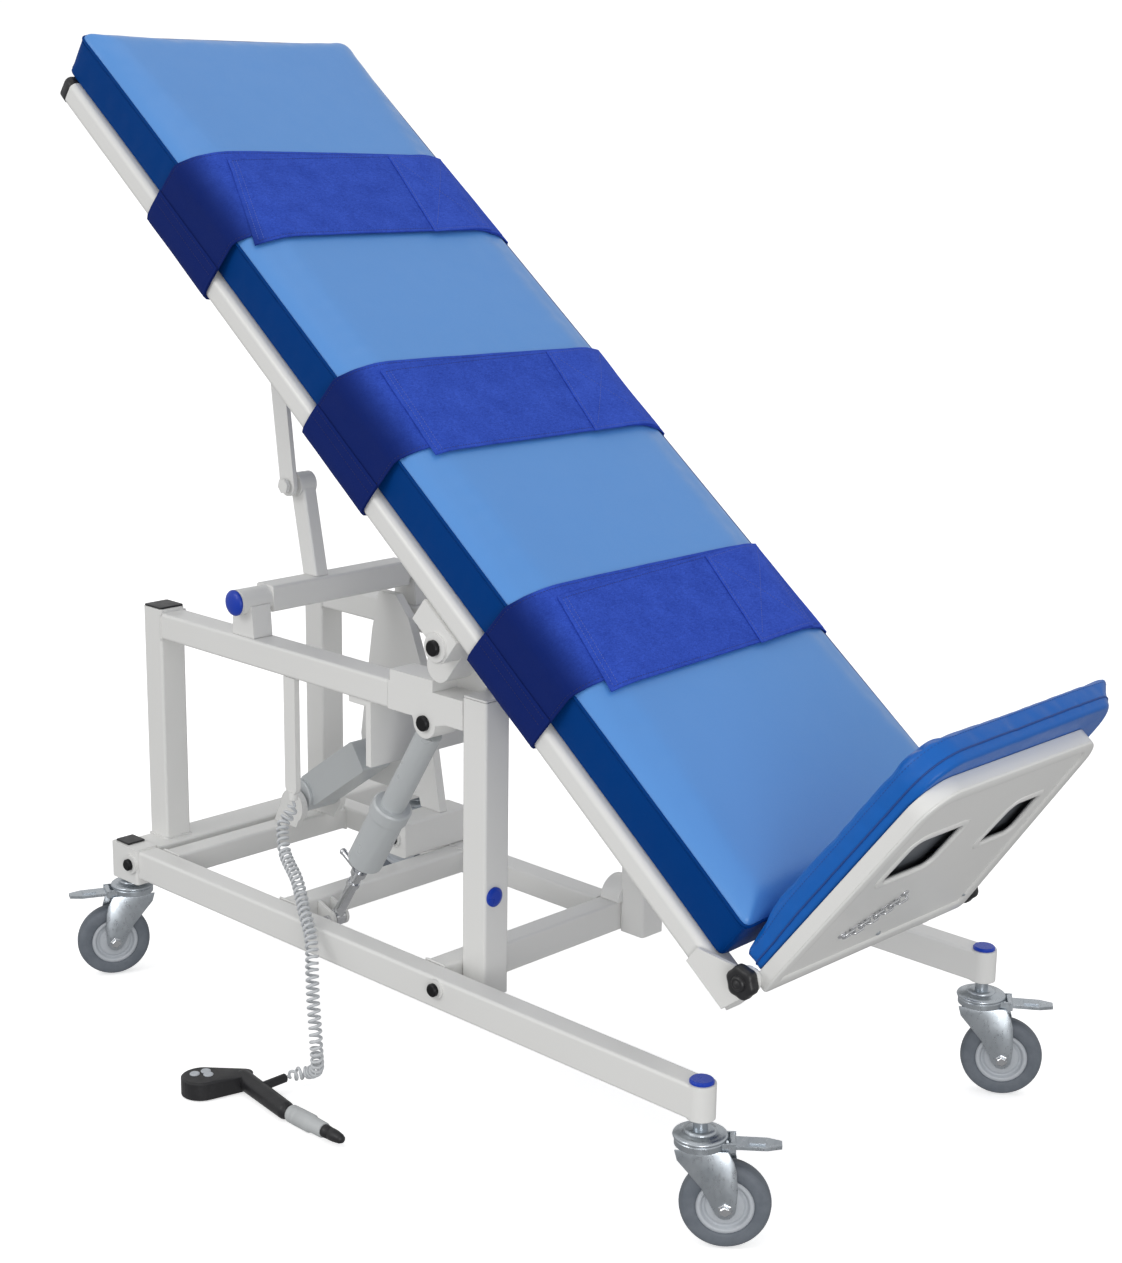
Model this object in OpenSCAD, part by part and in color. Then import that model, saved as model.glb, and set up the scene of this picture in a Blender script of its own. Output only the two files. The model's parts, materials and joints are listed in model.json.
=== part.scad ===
// Tilt table for physiotherapy: a wheeled steel base, an upper frame on four
// posts, a padded bed that tilts on two hinge heads, and a padded foot board.
// Millimetres, +Z up, X runs along the bed towards the foot, Y across it.

/* [Base frame] */
// Length of the base along its near rail
base_length = 1350; // [1000:10:1800]
// Width of the base over both outer rails
base_width = 705; // [560:5:900]
// Height of the base rails' top above the floor
base_top = 235; // [215:1:300]
// Width of a base rail
rail_w = 40; // [30:1:60]
// Height of a base rail
rail_h = 50; // [36:1:60]
// Corner radius of the square tubes
tube_r = 5; // [2:0.5:9]
// Height of the inner cross tubes
cross_h = 40; // [30:1:50]
// Width of the rear cross tube
rear_cross_w = 70; // [50:1:90]
// Place of the rear cross tube from the base's rear end
rear_cross_x = 10; // [5:1:30]
// Gap between the rear cross tube and the second one
cross_gap = 20; // [5:1:40]
// Place of the middle cross tube
mid_cross_x = 417; // [380:1:500]
// Place of the front cross tube
front_cross_x = 767; // [700:1:850]
// Near face of the inner rail
inner_rail_y = 412; // [380:1:460]

/* [Upper frame] */
// Side of a post
post_w = 50; // [40:1:60]
// Near face of the near posts
post_y = 75; // [65:1:90]
// Near face of the far posts
far_post_y = 427; // [400:1:460]
// Height of the posts' top
post_top = 645; // [600:1:700]
// Place of the rear posts
rear_post_x = 10; // [5:1:20]
// Height of an upper rail
upper_h = 45; // [35:1:60]
// Length of the hinge head on an upper rail's front end
head_len = 165; // [130:1:200]
// Rise of the hinge head above the upper rail
head_rise = 18; // [10:1:25]

/* [Bed] */
// Tilt of the bed at rest, in degrees
tilt = 38; // [20:1:45]
// Place of the hinge axis along the base
hinge_x = 787; // [770:1:800]
// Height of the hinge axis
hinge_z = 722; // [715:1:740]
// Distance of the hinge axis from the bed's head end
hinge_u = 1194; // [1150:1:1220]
// Drop of the hinge axis below the bed rails
hinge_drop = 37; // [34:1:50]
// Length of the bed
bed_len = 1873; // [1750:1:1950]
// Near face of the bed's near rail
bed_y = 42; // [41:1:50]
// Side of a bed rail
bed_rail = 40; // [30:1:45]
// Corner radius of a bed rail
bed_rail_r = 10; // [4:1:14]
// Thickness of the bed's pad
pad_t = 85; // [60:1:110]
// Width of the bed's pad, which reaches past the far rail
pad_w = 558; // [480:1:580]
// Radius of the pad's corners
pad_corner = 30; // [10:1:60]
// Radius of the pad's edges
pad_edge = 22; // [6:1:28]
// Rise of the pad's crown
pad_crown = 5; // [2:0.5:10]
// Width of a strap along the bed
strap_w = 178; // [120:1:200]
// Thickness of a strap
strap_t = 5; // [3:0.5:8]

/* [Foot board] */
// Height of the foot board above its hinge
board_h = 415; // [300:1:450]
// Width of the foot board
board_w = 455; // [400:1:470]
// Radius of the foot board's upper corners
board_corner = 50; // [20:1:80]
// Thickness of the foot board's pad
board_pad_t = 48; // [30:1:60]
// Radius of the foot board pad's edges
board_edge = 10; // [5:1:20]
// Depth of the foot board's pressed tray
tray_d = 20; // [12:1:26]
// Sheet thickness of the tray
sheet_t = 3; // [2:0.5:4]
// Height of the foot board's hinge above the bed rails' underside
board_axis_n = 74; // [66:1:84]

/* [Lever and link] */
// Place of the rocker tube's axis along the base
rocker_x = 280; // [260:1:300]
// Height of the rocker tube's axis
rocker_z = 697; // [690:1:705]
// Side of the rocker tube
rocker_w = 44; // [36:1:50]
// Length of the lever on the rocker tube
lever_len = 175; // [150:1:190]
// Angle of the lever at rest, from the foot end upwards
lever_angle = 101.6; // [95:0.1:110]
// Distance between the link bar's two holes
link_len = 316; // [290:1:330]
// Angle of the link bar at rest
link_angle = 97.2; // [90:0.1:105]

/* [Casters] */
// Diameter of a wheel
wheel_d = 125; // [100:1:140]
// Width of a wheel
wheel_w = 32; // [24:1:40]
// Trail of a wheel behind its swivel
trail = 36; // [25:1:45]
// Radius of the swivel head
swivel_r = 35; // [28:1:40]
// Distance of the swivel axes from the base's outer faces
caster_in = 20; // [16:1:30]

/* [Hidden] */
$fn = 32;
fine = 48;
white = [0.88, 0.89, 0.88];
blue = [0.10, 0.36, 0.74];
light_blue = [0.30, 0.55, 0.85];
navy = [0.07, 0.13, 0.45];
black = [0.10, 0.10, 0.11];
grey = [0.62, 0.65, 0.67];
light_grey = [0.80, 0.81, 0.82];
rubber = [0.38, 0.40, 0.42];
zinc = [0.72, 0.74, 0.75];

// Small pieces and clearances shared by many parts
over = 1;
seat = 0.3;
cap_t = 3;
bolt_r = 10;
bolt_h = 7;
boss_r = 17;
boss_t = 4;
bevel_t = 2;
run_gap = 0.05;
pin_r = 10;
gap = 3;

// Places of the base pieces
base_low = base_top - rail_h;
rear_cross_end = rear_cross_x + rear_cross_w;
second_x = rear_cross_end + cross_gap;
front_post_x = front_cross_x + rail_w;
far_rail_y = base_width - rail_w;
block_x = 5;
block_w = 75;
block_drop = 10;
block_proud = 4;

// Places of the upper frame
upper_top = post_top - cap_t - cap_t;
upper_low = upper_top - upper_h;
rail_start = rear_post_x + post_w;
head_end = front_post_x;
head_x = head_end - head_len;
lug_r = 24;
lug_back = 63;
lug_drop = 6;
lug_x = hinge_x - lug_back;
lug_z = upper_low - lug_drop;
tongue_w = 50;
tongue_reach = 76;
notch_r = tongue_reach + gap;
cheek_t = 12;
plate_t = 12;

// Middle of the upper frame, about which the far side mirrors the near one
frame_mid = (post_y + far_post_y + post_w) / 2;
module both_sides() {
  children();
  translate([0, frame_mid + frame_mid, 0]) mirror([0, 1, 0]) children();
}

// Frame that carries the whole part so that its base centre is the origin
centre_x = 761.6;
centre_y = 266.8;
module placed() {
  translate([-centre_x, -centre_y, 0]) children();
}

// Bed frame: u runs to the foot, n is up from the rails' underside
bed_x0 = hinge_x - hinge_u * cos(tilt) + hinge_drop * sin(tilt);
bed_z0 = hinge_z + hinge_u * sin(tilt) + hinge_drop * cos(tilt);
module on_bed() {
  placed() translate([bed_x0, 0, bed_z0]) rotate([0, tilt, 0]) children();
}
bed_far_y = frame_mid + frame_mid - bed_y;
bed_w = bed_far_y - bed_y;
pad_side = 10;
pad_draw = 4;
pad_far_y = bed_y + pad_side + pad_w;
pad_low = bed_rail;
pad_top = bed_rail + pad_t;
pad_len = bed_len - bed_rail - bed_rail + tube_r;

// Box between two corners
module block(low, high) {
  translate(low) cube(high - low);
}

// Rectangle with round corners, centred
module round_rect(w, h, r) {
  union() {
    square([w - r - r, h], center = true);
    square([w, h - r - r], center = true);
    for (sx = [-1, 1], sy = [-1, 1])
      translate([sx * (w / 2 - r), sy * (h / 2 - r)]) circle(r = r, $fn = 24);
  }
}

// Square tubes along the three axes, from the low corner
module tube_x(at, len, w, h, r = tube_r) {
  translate([at[0], at[1] + w / 2, at[2] + h / 2])
    rotate([90, 0, 90]) linear_extrude(len) round_rect(w, h, r);
}
module tube_y(at, len, w, h, r = tube_r) {
  translate([at[0] + w / 2, at[1] + len, at[2] + h / 2])
    rotate([90, 0, 0]) linear_extrude(len) round_rect(w, h, r);
}
module tube_z(at, len, w, d, r = tube_r) {
  translate([at[0] + w / 2, at[1] + d / 2, at[2]])
    linear_extrude(len) round_rect(w, d, r);
}

// Plate in the XZ plane between y and y + t, from an outline
module plate_xz(y, t) {
  translate([0, y + t, 0]) rotate([90, 0, 0]) linear_extrude(t) children();
}

// Rod along Y
module rod_y(at, r, len, fn = fine) {
  translate([at[0], at[1], at[2]]) rotate([-90, 0, 0]) cylinder(r = r, h = len, $fn = fn);
}

// Bolt head with a bevelled rim that stands out of a near face
module bolt_head(at, r = bolt_r, h = bolt_h) {
  translate(at) rotate([90, 0, 0]) {
    cylinder(r = r, h = h - bevel_t, $fn = fine);
    translate([0, 0, h - bevel_t]) cylinder(r1 = r, r2 = r - bevel_t, h = bevel_t, $fn = fine);
  }
}

// Base frame
module near_rail() {
  color(white) placed() union() {
    tube_x([block_x + block_w, 0, base_low], base_length - rail_w / 2 - block_x - block_w,
      rail_w, rail_h);
    translate([base_length - rail_w / 2, rail_w / 2, base_low])
      cylinder(r = rail_w / 2, h = rail_h, $fn = fine);
    rod_y([front_post_x + post_w / 2, -boss_t, base_low + rail_h - boss_r],
      boss_r - bevel_t, boss_t + tube_r);
  }
}

module rear_block() {
  color(white) placed() union() {
    tube_z([block_x, -block_proud, base_low - block_drop], rail_h + block_drop + cap_t,
      block_w, rail_w + block_proud);
    rod_y([block_x + block_w - boss_r, -block_proud - boss_t, base_low + rail_h / 2],
      boss_r, boss_t + tube_r);
  }
}

module rear_cross() {
  color(white) placed()
    tube_y([rear_cross_x, rail_w, base_low], far_rail_y, rear_cross_w, rail_h);
}

module inner_crosses() {
  color(white) placed() for (x = [second_x, mid_cross_x])
    tube_y([x, rail_w, base_top - cross_h], inner_rail_y - rail_w, rail_w, cross_h);
}

module front_cross() {
  color(white) placed()
    tube_y([front_cross_x, rail_w, base_low], far_rail_y - rail_w, rail_w, rail_h);
}

module inner_rail() {
  color(white) placed()
    tube_x([rear_cross_end, inner_rail_y, base_top - cross_h], front_cross_x - rear_cross_end,
      rail_w, cross_h);
}

module far_arm() {
  color(white) placed() union() {
    tube_x([front_cross_x, far_rail_y, base_low], base_length - rail_w / 2 - front_cross_x,
      rail_w, rail_h);
    translate([base_length - rail_w / 2, base_width - rail_w / 2, base_low])
      cylinder(r = rail_w / 2, h = rail_h, $fn = fine);
  }
}

// Beam on the inner frame, where the standing support lands
beam_w = 54;
beam_x = mid_cross_x + cap_t - beam_w;
beam_y = 308;
beam_h = 62;
module landing_beam() {
  color(white) placed() union() {
    tube_y([beam_x, beam_y, base_top], inner_rail_y + rail_w - beam_y, beam_w, beam_h);
    rod_y([beam_x + beam_w / 2, beam_y - boss_t, base_top + beam_h / 2],
      boss_r - bevel_t, boss_t + tube_r);
  }
}

// Posts and upper rails
module rear_posts() {
  color(white) placed() for (y = [post_y, far_post_y])
    tube_z([rear_post_x, y, base_top], post_top - base_top, post_w, post_w);
}

foot_disc_r = 34;
module front_posts() {
  color(white) placed() {
    tube_z([front_post_x, post_y, base_low], post_top - base_low, post_w, post_w);
    union() {
      tube_z([front_post_x, far_post_y, base_low], post_top - base_low, post_w, post_w);
      intersection() {
        translate([front_cross_x + tube_r, far_post_y + post_w / 2, base_top]) rotate([0, 90, 0])
          cylinder(r = foot_disc_r, h = rail_w, $fn = fine);
        translate([front_cross_x, far_post_y - post_w, base_top + seat])
          cube([post_w + over, post_w * 3, post_w]);
      }
    }
  }
}

module upper_rails() {
  color(white) placed() for (y = [post_y, far_post_y])
    tube_x([rail_start + seat, y, upper_low], head_x - rail_start - seat * 2, post_w, upper_h);
}

// Hinge heads: a round notch about the hinge axis, a lug below and a cheek behind
head_block_share = 0.42;
cheek_r = 26;
module head_outline() {
  difference() {
    union() {
      translate([head_x, upper_low]) square([head_len, upper_h]);
      translate([head_x + tube_r, upper_low + upper_h / 2])
        square([head_len * (1 - head_block_share), upper_h / 2 + head_rise]);
      translate([lug_x, lug_z]) circle(r = lug_r, $fn = fine);
      polygon([[lug_x - lug_r, lug_z], [lug_x - lug_r - tube_r, upper_low + tube_r],
        [head_end - tube_r, upper_low + tube_r], [lug_x + lug_r + lug_r, upper_low],
        [lug_x + lug_r, lug_z]]);
    }
    translate([hinge_x, hinge_z]) circle(r = notch_r, $fn = 96);
    translate([lug_x, lug_z]) circle(r = pin_r, $fn = fine);
  }
}
module cheek_outline() {
  difference() {
    union() {
      translate([hinge_x, hinge_z]) circle(r = cheek_r, $fn = fine);
      polygon([[hinge_x - cheek_r, hinge_z], [head_x + head_len / 2, upper_low],
        [head_end - seat, upper_low], [head_end - seat, hinge_z - head_rise], [hinge_x + cheek_r, hinge_z]]);
    }
    translate([hinge_x, hinge_z]) circle(r = pin_r, $fn = fine);
  }
}
module hinge_heads() {
  color(white) placed() both_sides() union() {
    plate_xz(post_y, post_w) head_outline();
    plate_xz(post_y + post_w, cheek_t) cheek_outline();
  }
}

// Hinge pins with their black heads, held by the cheeks
module hinge_pins() {
  pin_end = bed_y - boss_t - seat * 2;
  color(black) placed() both_sides() union() {
    rod_y([hinge_x, pin_end, hinge_z], pin_r - run_gap, post_y + post_w + cheek_t - pin_end);
    bolt_head([hinge_x, pin_end, hinge_z], bolt_r + bevel_t);
  }
}

// Saddles that carry the rocker tube on the upper rails
saddle_w = 56;
saddle_y = 6;
journal_r = rocker_w / 2 - bevel_t / 2;
module saddles() {
  saddle_top = rocker_z - tube_r;
  color(white) placed() for (y = [post_y, far_post_y])
    plate_xz(y + saddle_y, post_w - saddle_y - saddle_y) difference() {
      polygon([[rocker_x - saddle_w / 2, upper_top + seat],
        [rocker_x + saddle_w / 2, upper_top + seat],
        [rocker_x + saddle_w / 2, upper_top + tube_r],
        [rocker_x + journal_r + gap, saddle_top],
        [rocker_x - journal_r - gap, saddle_top],
        [rocker_x - saddle_w / 2, upper_top + tube_r]]);
      translate([rocker_x, rocker_z]) circle(r = journal_r + run_gap, $fn = fine);
    }
}

// Upright panel behind the cylinder
panel_x = 585;
panel_end_y = 300;
panel_low = 488;
module cross_panel() {
  color(white) placed() union() {
    block([panel_x, post_y + tube_r, panel_low], [panel_x + plate_t, panel_end_y, upper_low - seat]);
    block([panel_x - rail_w, post_y + tube_r, upper_low - tube_r * 2],
      [panel_x + plate_t, post_y + post_w - tube_r, upper_low - seat]);
  }
}

// Standing support: a tapered plate from the beam up to the rocker tube
support_y = 392;
support_t = 16;
support_w = 162;
module support_plate() {
  low_z = base_top + beam_h + seat;
  top_z = rocker_z - rocker_w * 3 / 4;
  left = beam_x + beam_w - support_w - rail_h;
  color(white) placed() plate_xz(support_y, support_t) polygon([
    [beam_x, low_z], [beam_x + beam_w - tube_r, low_z],
    [left + support_w, upper_low - rail_h], [rocker_x + beam_w, upper_top - rail_h / 5],
    [rocker_x + rocker_w / 2, top_z], [rocker_x - rocker_w / 2, top_z],
    [rocker_x - rail_w, upper_low], [left, low_z + post_w * 2],
    [left + rail_h / 5, low_z + rail_h / 3], [beam_x - tube_r, low_z + rail_h / 3]]);
}

// Point on the cylinder's axis, from its lug pin down
cyl_y = post_y + post_w / 2;
cyl_lean = 32;
cyl_r = 20;
cyl_big_r = 29;
cyl_thin_len = 186;
cyl_big_len = 108;
collar_h = 20;
collar_r = 32;
module on_cylinder() {
  placed() translate([lug_x, cyl_y, lug_z]) rotate([0, 180 + cyl_lean, 0]) children();
}
module lift_cylinder() {
  color(grey) on_cylinder() union() {
    translate([0, 0, lug_r + gap]) cylinder(r = cyl_r, h = cyl_thin_len - lug_r, $fn = fine);
    translate([0, 0, cyl_thin_len]) cylinder(r1 = collar_r - gap, r2 = collar_r, h = gap, $fn = fine);
    translate([0, 0, cyl_thin_len + gap]) cylinder(r = collar_r, h = collar_h, $fn = fine);
    translate([0, 0, cyl_thin_len + collar_h]) cylinder(r = cyl_big_r, h = cyl_big_len, $fn = fine);
    translate([0, 0, cyl_thin_len + collar_h + cyl_big_len])
      cylinder(r1 = cyl_big_r, r2 = cyl_big_r - tube_r, h = tube_r, $fn = fine);
  }
}

// Chrome rod end below the cylinder, its nut and the eye on the middle cross tube
nut_r = 17;
nut_h = 9;
stem_r = 9;
cyl_end = cyl_thin_len + collar_h + cyl_big_len + tube_r;
foot_r = 14;
foot_x = mid_cross_x + rail_w + foot_r * 2;
foot_len = (lug_x - foot_x) / sin(cyl_lean);
foot_z = lug_z - foot_len * cos(cyl_lean);
ear_gap = gap / 3;
module cylinder_foot() {
  color(zinc) union() {
    on_cylinder() union() {
      translate([0, 0, cyl_end + seat]) cylinder(r = nut_r, h = nut_h, $fn = 6);
      translate([0, 0, cyl_end]) cylinder(r = stem_r, h = foot_len - cyl_end);
      translate([0, 0, cyl_end + stem_r * 5]) cylinder(r = stem_r + bevel_t, h = stem_r);
    }
    placed() {
      rod_y([foot_x, cyl_y - stem_r, foot_z], foot_r, stem_r * 2);
      rod_y([foot_x, cyl_y - stem_r - plate_t, foot_z], foot_r / 2 - run_gap, (stem_r + plate_t) * 2);
    }
  }
}

// Two ears on the middle cross tube for the cylinder's rod end
module cylinder_ears() {
  color(white) placed() for (y = [cyl_y - stem_r - ear_gap - sheet_t * 2, cyl_y + stem_r + ear_gap])
    difference() {
      plate_xz(y, sheet_t * 2) union() {
        translate([foot_x, foot_z]) circle(r = foot_r, $fn = fine);
        polygon([[mid_cross_x + rail_w + seat, base_top - cross_h + tube_r],
          [foot_x, foot_z - foot_r], [foot_x, foot_z + foot_r],
          [mid_cross_x + rail_w + seat, base_top - tube_r]]);
      }
      rod_y([foot_x, y - over, foot_z], foot_r / 2, sheet_t * 2 + over * 2);
    }
}

// Valve lever beside the cylinder's lower end
valve_r = 5;
valve_len = 34;
module valve_lever() {
  color(zinc) on_cylinder() translate([0, 0, cyl_end + nut_h + stem_r]) union() {
    difference() {
      cylinder(r = stem_r + bevel_t + bevel_t, h = valve_r + valve_r, $fn = fine);
      translate([0, 0, -over])
        cylinder(r = stem_r + run_gap, h = valve_r * 2 + over * 2, $fn = fine);
    }
    translate([stem_r + bevel_t, 0, valve_r]) rotate([0, 90, 0])
      cylinder(r = valve_r, h = valve_len);
    translate([stem_r + bevel_t + valve_len, 0, valve_r]) sphere(r = valve_r + bevel_t / 2);
  }
}

// Grey drive unit with its round flange, and the rod eye on the support
unit_y = 330;
unit_w = 62;
unit_h = 60;
unit_len = 170;
unit_x = 155;
unit_z = 288;
unit_lean = 35;
flange_r = 30;
module on_unit() {
  placed() translate([unit_x, unit_y, unit_z]) rotate([0, -unit_lean, 0]) children();
}
module box_unit() {
  rod_eye();
  color(grey) on_unit() union() {
    translate([0, unit_w / 2, 0]) rotate([90, 0, 0]) {
      translate([unit_h / 2, 0, 0]) linear_extrude(unit_w)
        translate([unit_len / 2 - unit_h / 4, 0]) round_rect(unit_len, unit_h - gap, tube_r);
      cylinder(r = flange_r, h = unit_w, $fn = fine);
      translate([0, 0, unit_w]) cylinder(r = flange_r, h = tube_r, $fn = fine);
      translate([0, 0, unit_w + tube_r])
        cylinder(r1 = flange_r, r2 = flange_r - bevel_t, h = bevel_t, $fn = fine);
      translate([0, 0, unit_w + tube_r]) cylinder(r = bolt_r, h = bolt_h, $fn = 6);
    }
  }
}
module rod_eye() {
  eye_r = 17;
  reach = unit_len + unit_h / 4;
  color(black) on_unit() union() {
    difference() {
      translate([reach + eye_r + gap, eye_r / 2, 0]) rotate([90, 0, 0])
        cylinder(r = eye_r, h = eye_r, $fn = fine);
      translate([reach + eye_r + gap, eye_r, 0]) rotate([90, 0, 0])
        cylinder(r = eye_r / 2, h = eye_r * 2, $fn = fine);
    }
    translate([reach - over, 0, 0]) rotate([0, 90, 0]) cylinder(r = eye_r / 2, h = eye_r / 2 + gap);
    translate([reach + eye_r + gap, unit_w, 0]) rotate([90, 0, 0])
      cylinder(r = eye_r / 2, h = unit_w + eye_r / 2, $fn = fine);
  }
}

// White clevis that holds the drive unit on the second cross tube
clevis_w = 66;
module clevis() {
  near_cheek = unit_y - unit_w / 2 - tube_r - bolt_h - seat - plate_t;
  color(white) placed() for (y = [near_cheek, unit_y + unit_w / 2 + seat])
    plate_xz(y, plate_t) union() {
      polygon([[second_x + tube_r, base_top + seat], [second_x + clevis_w, base_top + seat],
        [unit_x + flange_r, unit_z - flange_r / 2], [unit_x - flange_r, unit_z - flange_r / 2]]);
      translate([unit_x, unit_z - flange_r / 2]) circle(r = flange_r, $fn = fine);
    }
}

// Hanger bar under the upper rail, for the hand control's cord
hanger_x = 386;
hanger_y = 78;
hanger_w = 28;
hanger_t = 10;
hanger_low = 411;
gland_r = 8;
gland_h = 14;
module hanger_bar() {
  color(white) placed() union() {
    block([hanger_x, hanger_y, hanger_low], [hanger_x + hanger_w, hanger_y + hanger_t, upper_low - seat]);
    rod_y([hanger_x + hanger_w / 2, hanger_y, hanger_low], hanger_w / 2, hanger_t);
    translate([hanger_x + hanger_w / 2, hanger_y + hanger_t / 2,
      hanger_low - hanger_w / 2 - gland_h + tube_r]) cylinder(r = gland_r, h = gland_h);
  }
}

// Round blue end caps of the frame tubes
module blue_caps() {
  color(blue) placed() {
    for (y = [rail_w / 2, base_width - rail_w / 2])
      translate([base_length - rail_w / 2, y, base_top + seat]) union() {
        cylinder(r = rail_w / 2 - gap, h = cap_t, $fn = fine);
        translate([0, 0, cap_t])
          cylinder(r1 = rail_w / 2 - gap, r2 = rail_w / 2 - tube_r, h = bevel_t, $fn = fine);
      }
    translate([front_post_x + post_w + seat, post_y + boss_r + over, base_top + rail_h * 2 + bolt_r])
      rotate([0, 90, 0]) union() {
        cylinder(r = boss_r - bevel_t, h = cap_t, $fn = fine);
        translate([0, 0, cap_t])
          cylinder(r1 = boss_r - bevel_t, r2 = bolt_r, h = bevel_t, $fn = fine);
      }
  }
}

// Flat black caps on tube ends
module black_caps() {
  color(black) placed() {
    for (x = [rear_post_x, front_post_x], y = [post_y, far_post_y])
      tube_z([x + bevel_t / 2, y + bevel_t / 2, post_top + seat], cap_t, post_w - bevel_t,
        post_w - bevel_t, tube_r - over);
    tube_z([block_x + tube_r, tube_r / 2, base_top + cap_t + seat], cap_t, block_w / 2,
      rail_w - tube_r * 2, tube_r / 2);
    translate([mid_cross_x + rail_w / 2, rail_w + rail_h, base_top - cross_h - cap_t - seat])
      cylinder(r = bolt_r, h = cap_t);
  }
}

// Black bolts of the frame
module frame_bolts() {
  color(black) placed() {
    both_sides() union() {
      bolt_head([lug_x, post_y - seat, lug_z], bolt_r + bevel_t);
      rod_y([lug_x, post_y - seat, lug_z], pin_r - run_gap, post_w);
    }
    bolt_head([block_x + block_w - boss_r, -block_proud - boss_t - seat, base_low + rail_h / 2]);
    bolt_head([front_post_x + post_w / 2, -boss_t - seat, base_low + rail_h - boss_r]);
    bolt_head([beam_x + beam_w / 2, beam_y - boss_t - seat, base_top + beam_h / 2]);
  }
}

// Curly cord from the hanger to the hand control: a helix swept along a route
cord_r = 2.4;
curl_r = 8.4;
curls = 54;
cord_sides = 6;
curl_rings = 8;
cord_route = [[400, 83, 388], [400, 83, 378], [396, 76, 362], [396, 64, 346], [425, 45, 311],
  [485, 20, 289], [533, -5, 259], [574, -25, 228], [600, -45, 187], [615, -56, 148],
  [629, -64, 108], [634, -66, 70], [624, -58, 38], [602, -56, 24], [590, -68, 22],
  [588, -82, 22], [588, -92, 22]];
cord_count = len(cord_route);
function route_at(i) = cord_route[max(0, min(cord_count - 1, i))];
function route_chord(i) = norm(route_at(i + 1) - route_at(i));
function route_sum(i) = i == 0 ? 0 : route_sum(i - 1) + route_chord(i - 1);
route_len = route_sum(cord_count - 1);
route_marks = [for (i = [0 : cord_count - 1]) route_sum(i)];
function route_seg(s, i = 0) = i >= cord_count - 2 || s <= route_marks[i + 1] ? i : route_seg(s, i + 1);
function blend3(a, b, c, d, t) =
  (b * 2 + (c - a) * t + (a * 2 - b * 5 + c * 4 - d) * t * t + (b * 3 - a - c * 3 + d) * t * t * t) / 2;
function route_point(s) =
  let (i = route_seg(s), t = (s - route_marks[i]) / route_chord(i))
  blend3(route_at(i - 1), route_at(i), route_at(i + 1), route_at(i + 2), t);
route_step = route_len / (curls * curl_rings * 4);
function route_dir(s) =
  let (a = route_point(max(0, s - route_step)), b = route_point(min(route_len, s + route_step)))
  (b - a) / norm(b - a);
function unit(v) = v / norm(v);
end_run = curl_r + cord_r * 2;
function ease(t) = t <= 0 ? 0 : t >= 1 ? 1 : t * t * (3 - t - t);
function curl_size(s) =
  curl_r * ease((s - cord_r * 2) / end_run) * ease((route_len - s - cord_r * 2) / end_run);
function curl_point(s) =
  let (d = route_dir(s), a = unit(cross(d, [0, 1, 0])), b = cross(d, a),
    turn = 360 * curls * s / route_len)
  route_point(s) + (a * cos(turn) + b * sin(turn)) * curl_size(s);
cord_rings = curls * curl_rings;
small_turn = 0.2;
cord_line = [for (k = [0 : cord_rings]) curl_point(route_len * k / cord_rings)];
function line_dir(k) =
  unit(cord_line[min(cord_rings, k + 1)] - cord_line[max(0, k - 1)]);
cord_skin = [for (k = [0 : cord_rings])
  let (d = line_dir(k), r = route_dir(route_len * k / cord_rings),
    a = unit(cross(d, norm(cross(d, r)) < small_turn ? [0, 1, 0] : r)), b = cross(d, a))
  for (j = [0 : cord_sides - 1])
    cord_line[k] + (a * cos(360 * j / cord_sides) + b * sin(360 * j / cord_sides)) * cord_r];
cord_faces = [
  for (k = [0 : cord_rings - 1], j = [0 : cord_sides - 1])
    let (p = k * cord_sides + j, q = k * cord_sides + (j + 1) % cord_sides)
    each [[p, q, p + cord_sides], [q, q + cord_sides, p + cord_sides]],
  for (j = [1 : cord_sides - 2]) [0, j + 1, j],
  for (j = [1 : cord_sides - 2])
    [cord_rings * cord_sides, cord_rings * cord_sides + j, cord_rings * cord_sides + j + 1]];
cord_gap = min([for (k = [0 : cord_rings], m = [k + 6 : min(cord_rings, k + 12)])
  norm(cord_line[k] - cord_line[m])]) - cord_r - cord_r;
echo(cord_gap = cord_gap);
module curly_cord() {
  color(light_grey) placed() polyhedron(points = cord_skin, faces = cord_faces);
}

// Hand control that lies on the floor
hand_h = 30;
hand_head = [505, -188];
hand_neck = [536, -132];
hand_end = [662, -151];
hand_head_r = 32;
hand_stub_r = 7;
hand_stub_len = 46;
sleeve_r = 12;
sleeve_len = 92;
sleeve_tip = 30;
module handset() {
  color(black) placed() union() {
    hull() {
      translate([hand_head[0], hand_head[1], bevel_t])
        cylinder(r = hand_head_r, h = hand_h - bevel_t * 2);
      translate([hand_head[0], hand_head[1], 0]) cylinder(r = hand_head_r - bevel_t * 2, h = hand_h);
      translate([hand_neck[0], hand_neck[1], bevel_t])
        cylinder(r = hand_h / 2, h = hand_h - bevel_t * 3);
    }
    hull() {
      translate([hand_neck[0], hand_neck[1], hand_h / 2]) sphere(r = hand_h / 2);
      translate([hand_end[0], hand_end[1], hand_h / 2]) sphere(r = hand_h / 2 - over);
    }
    translate(cord_route[cord_count - 1]) rotate([90, 0, 0]) cylinder(r = hand_stub_r, h = hand_stub_len);
  }
}
module handset_sleeve() {
  color(grey) placed() translate([hand_end[0], hand_end[1], hand_h / 2]) rotate([0, 90, 0]) union() {
    translate([0, 0, hand_h / 2 - over + seat]) cylinder(r = sleeve_r, h = sleeve_len);
    translate([0, 0, hand_h / 2 + sleeve_len - over])
      cylinder(r1 = sleeve_r, r2 = sleeve_r - bevel_t * 2, h = sleeve_tip);
  }
}

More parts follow.
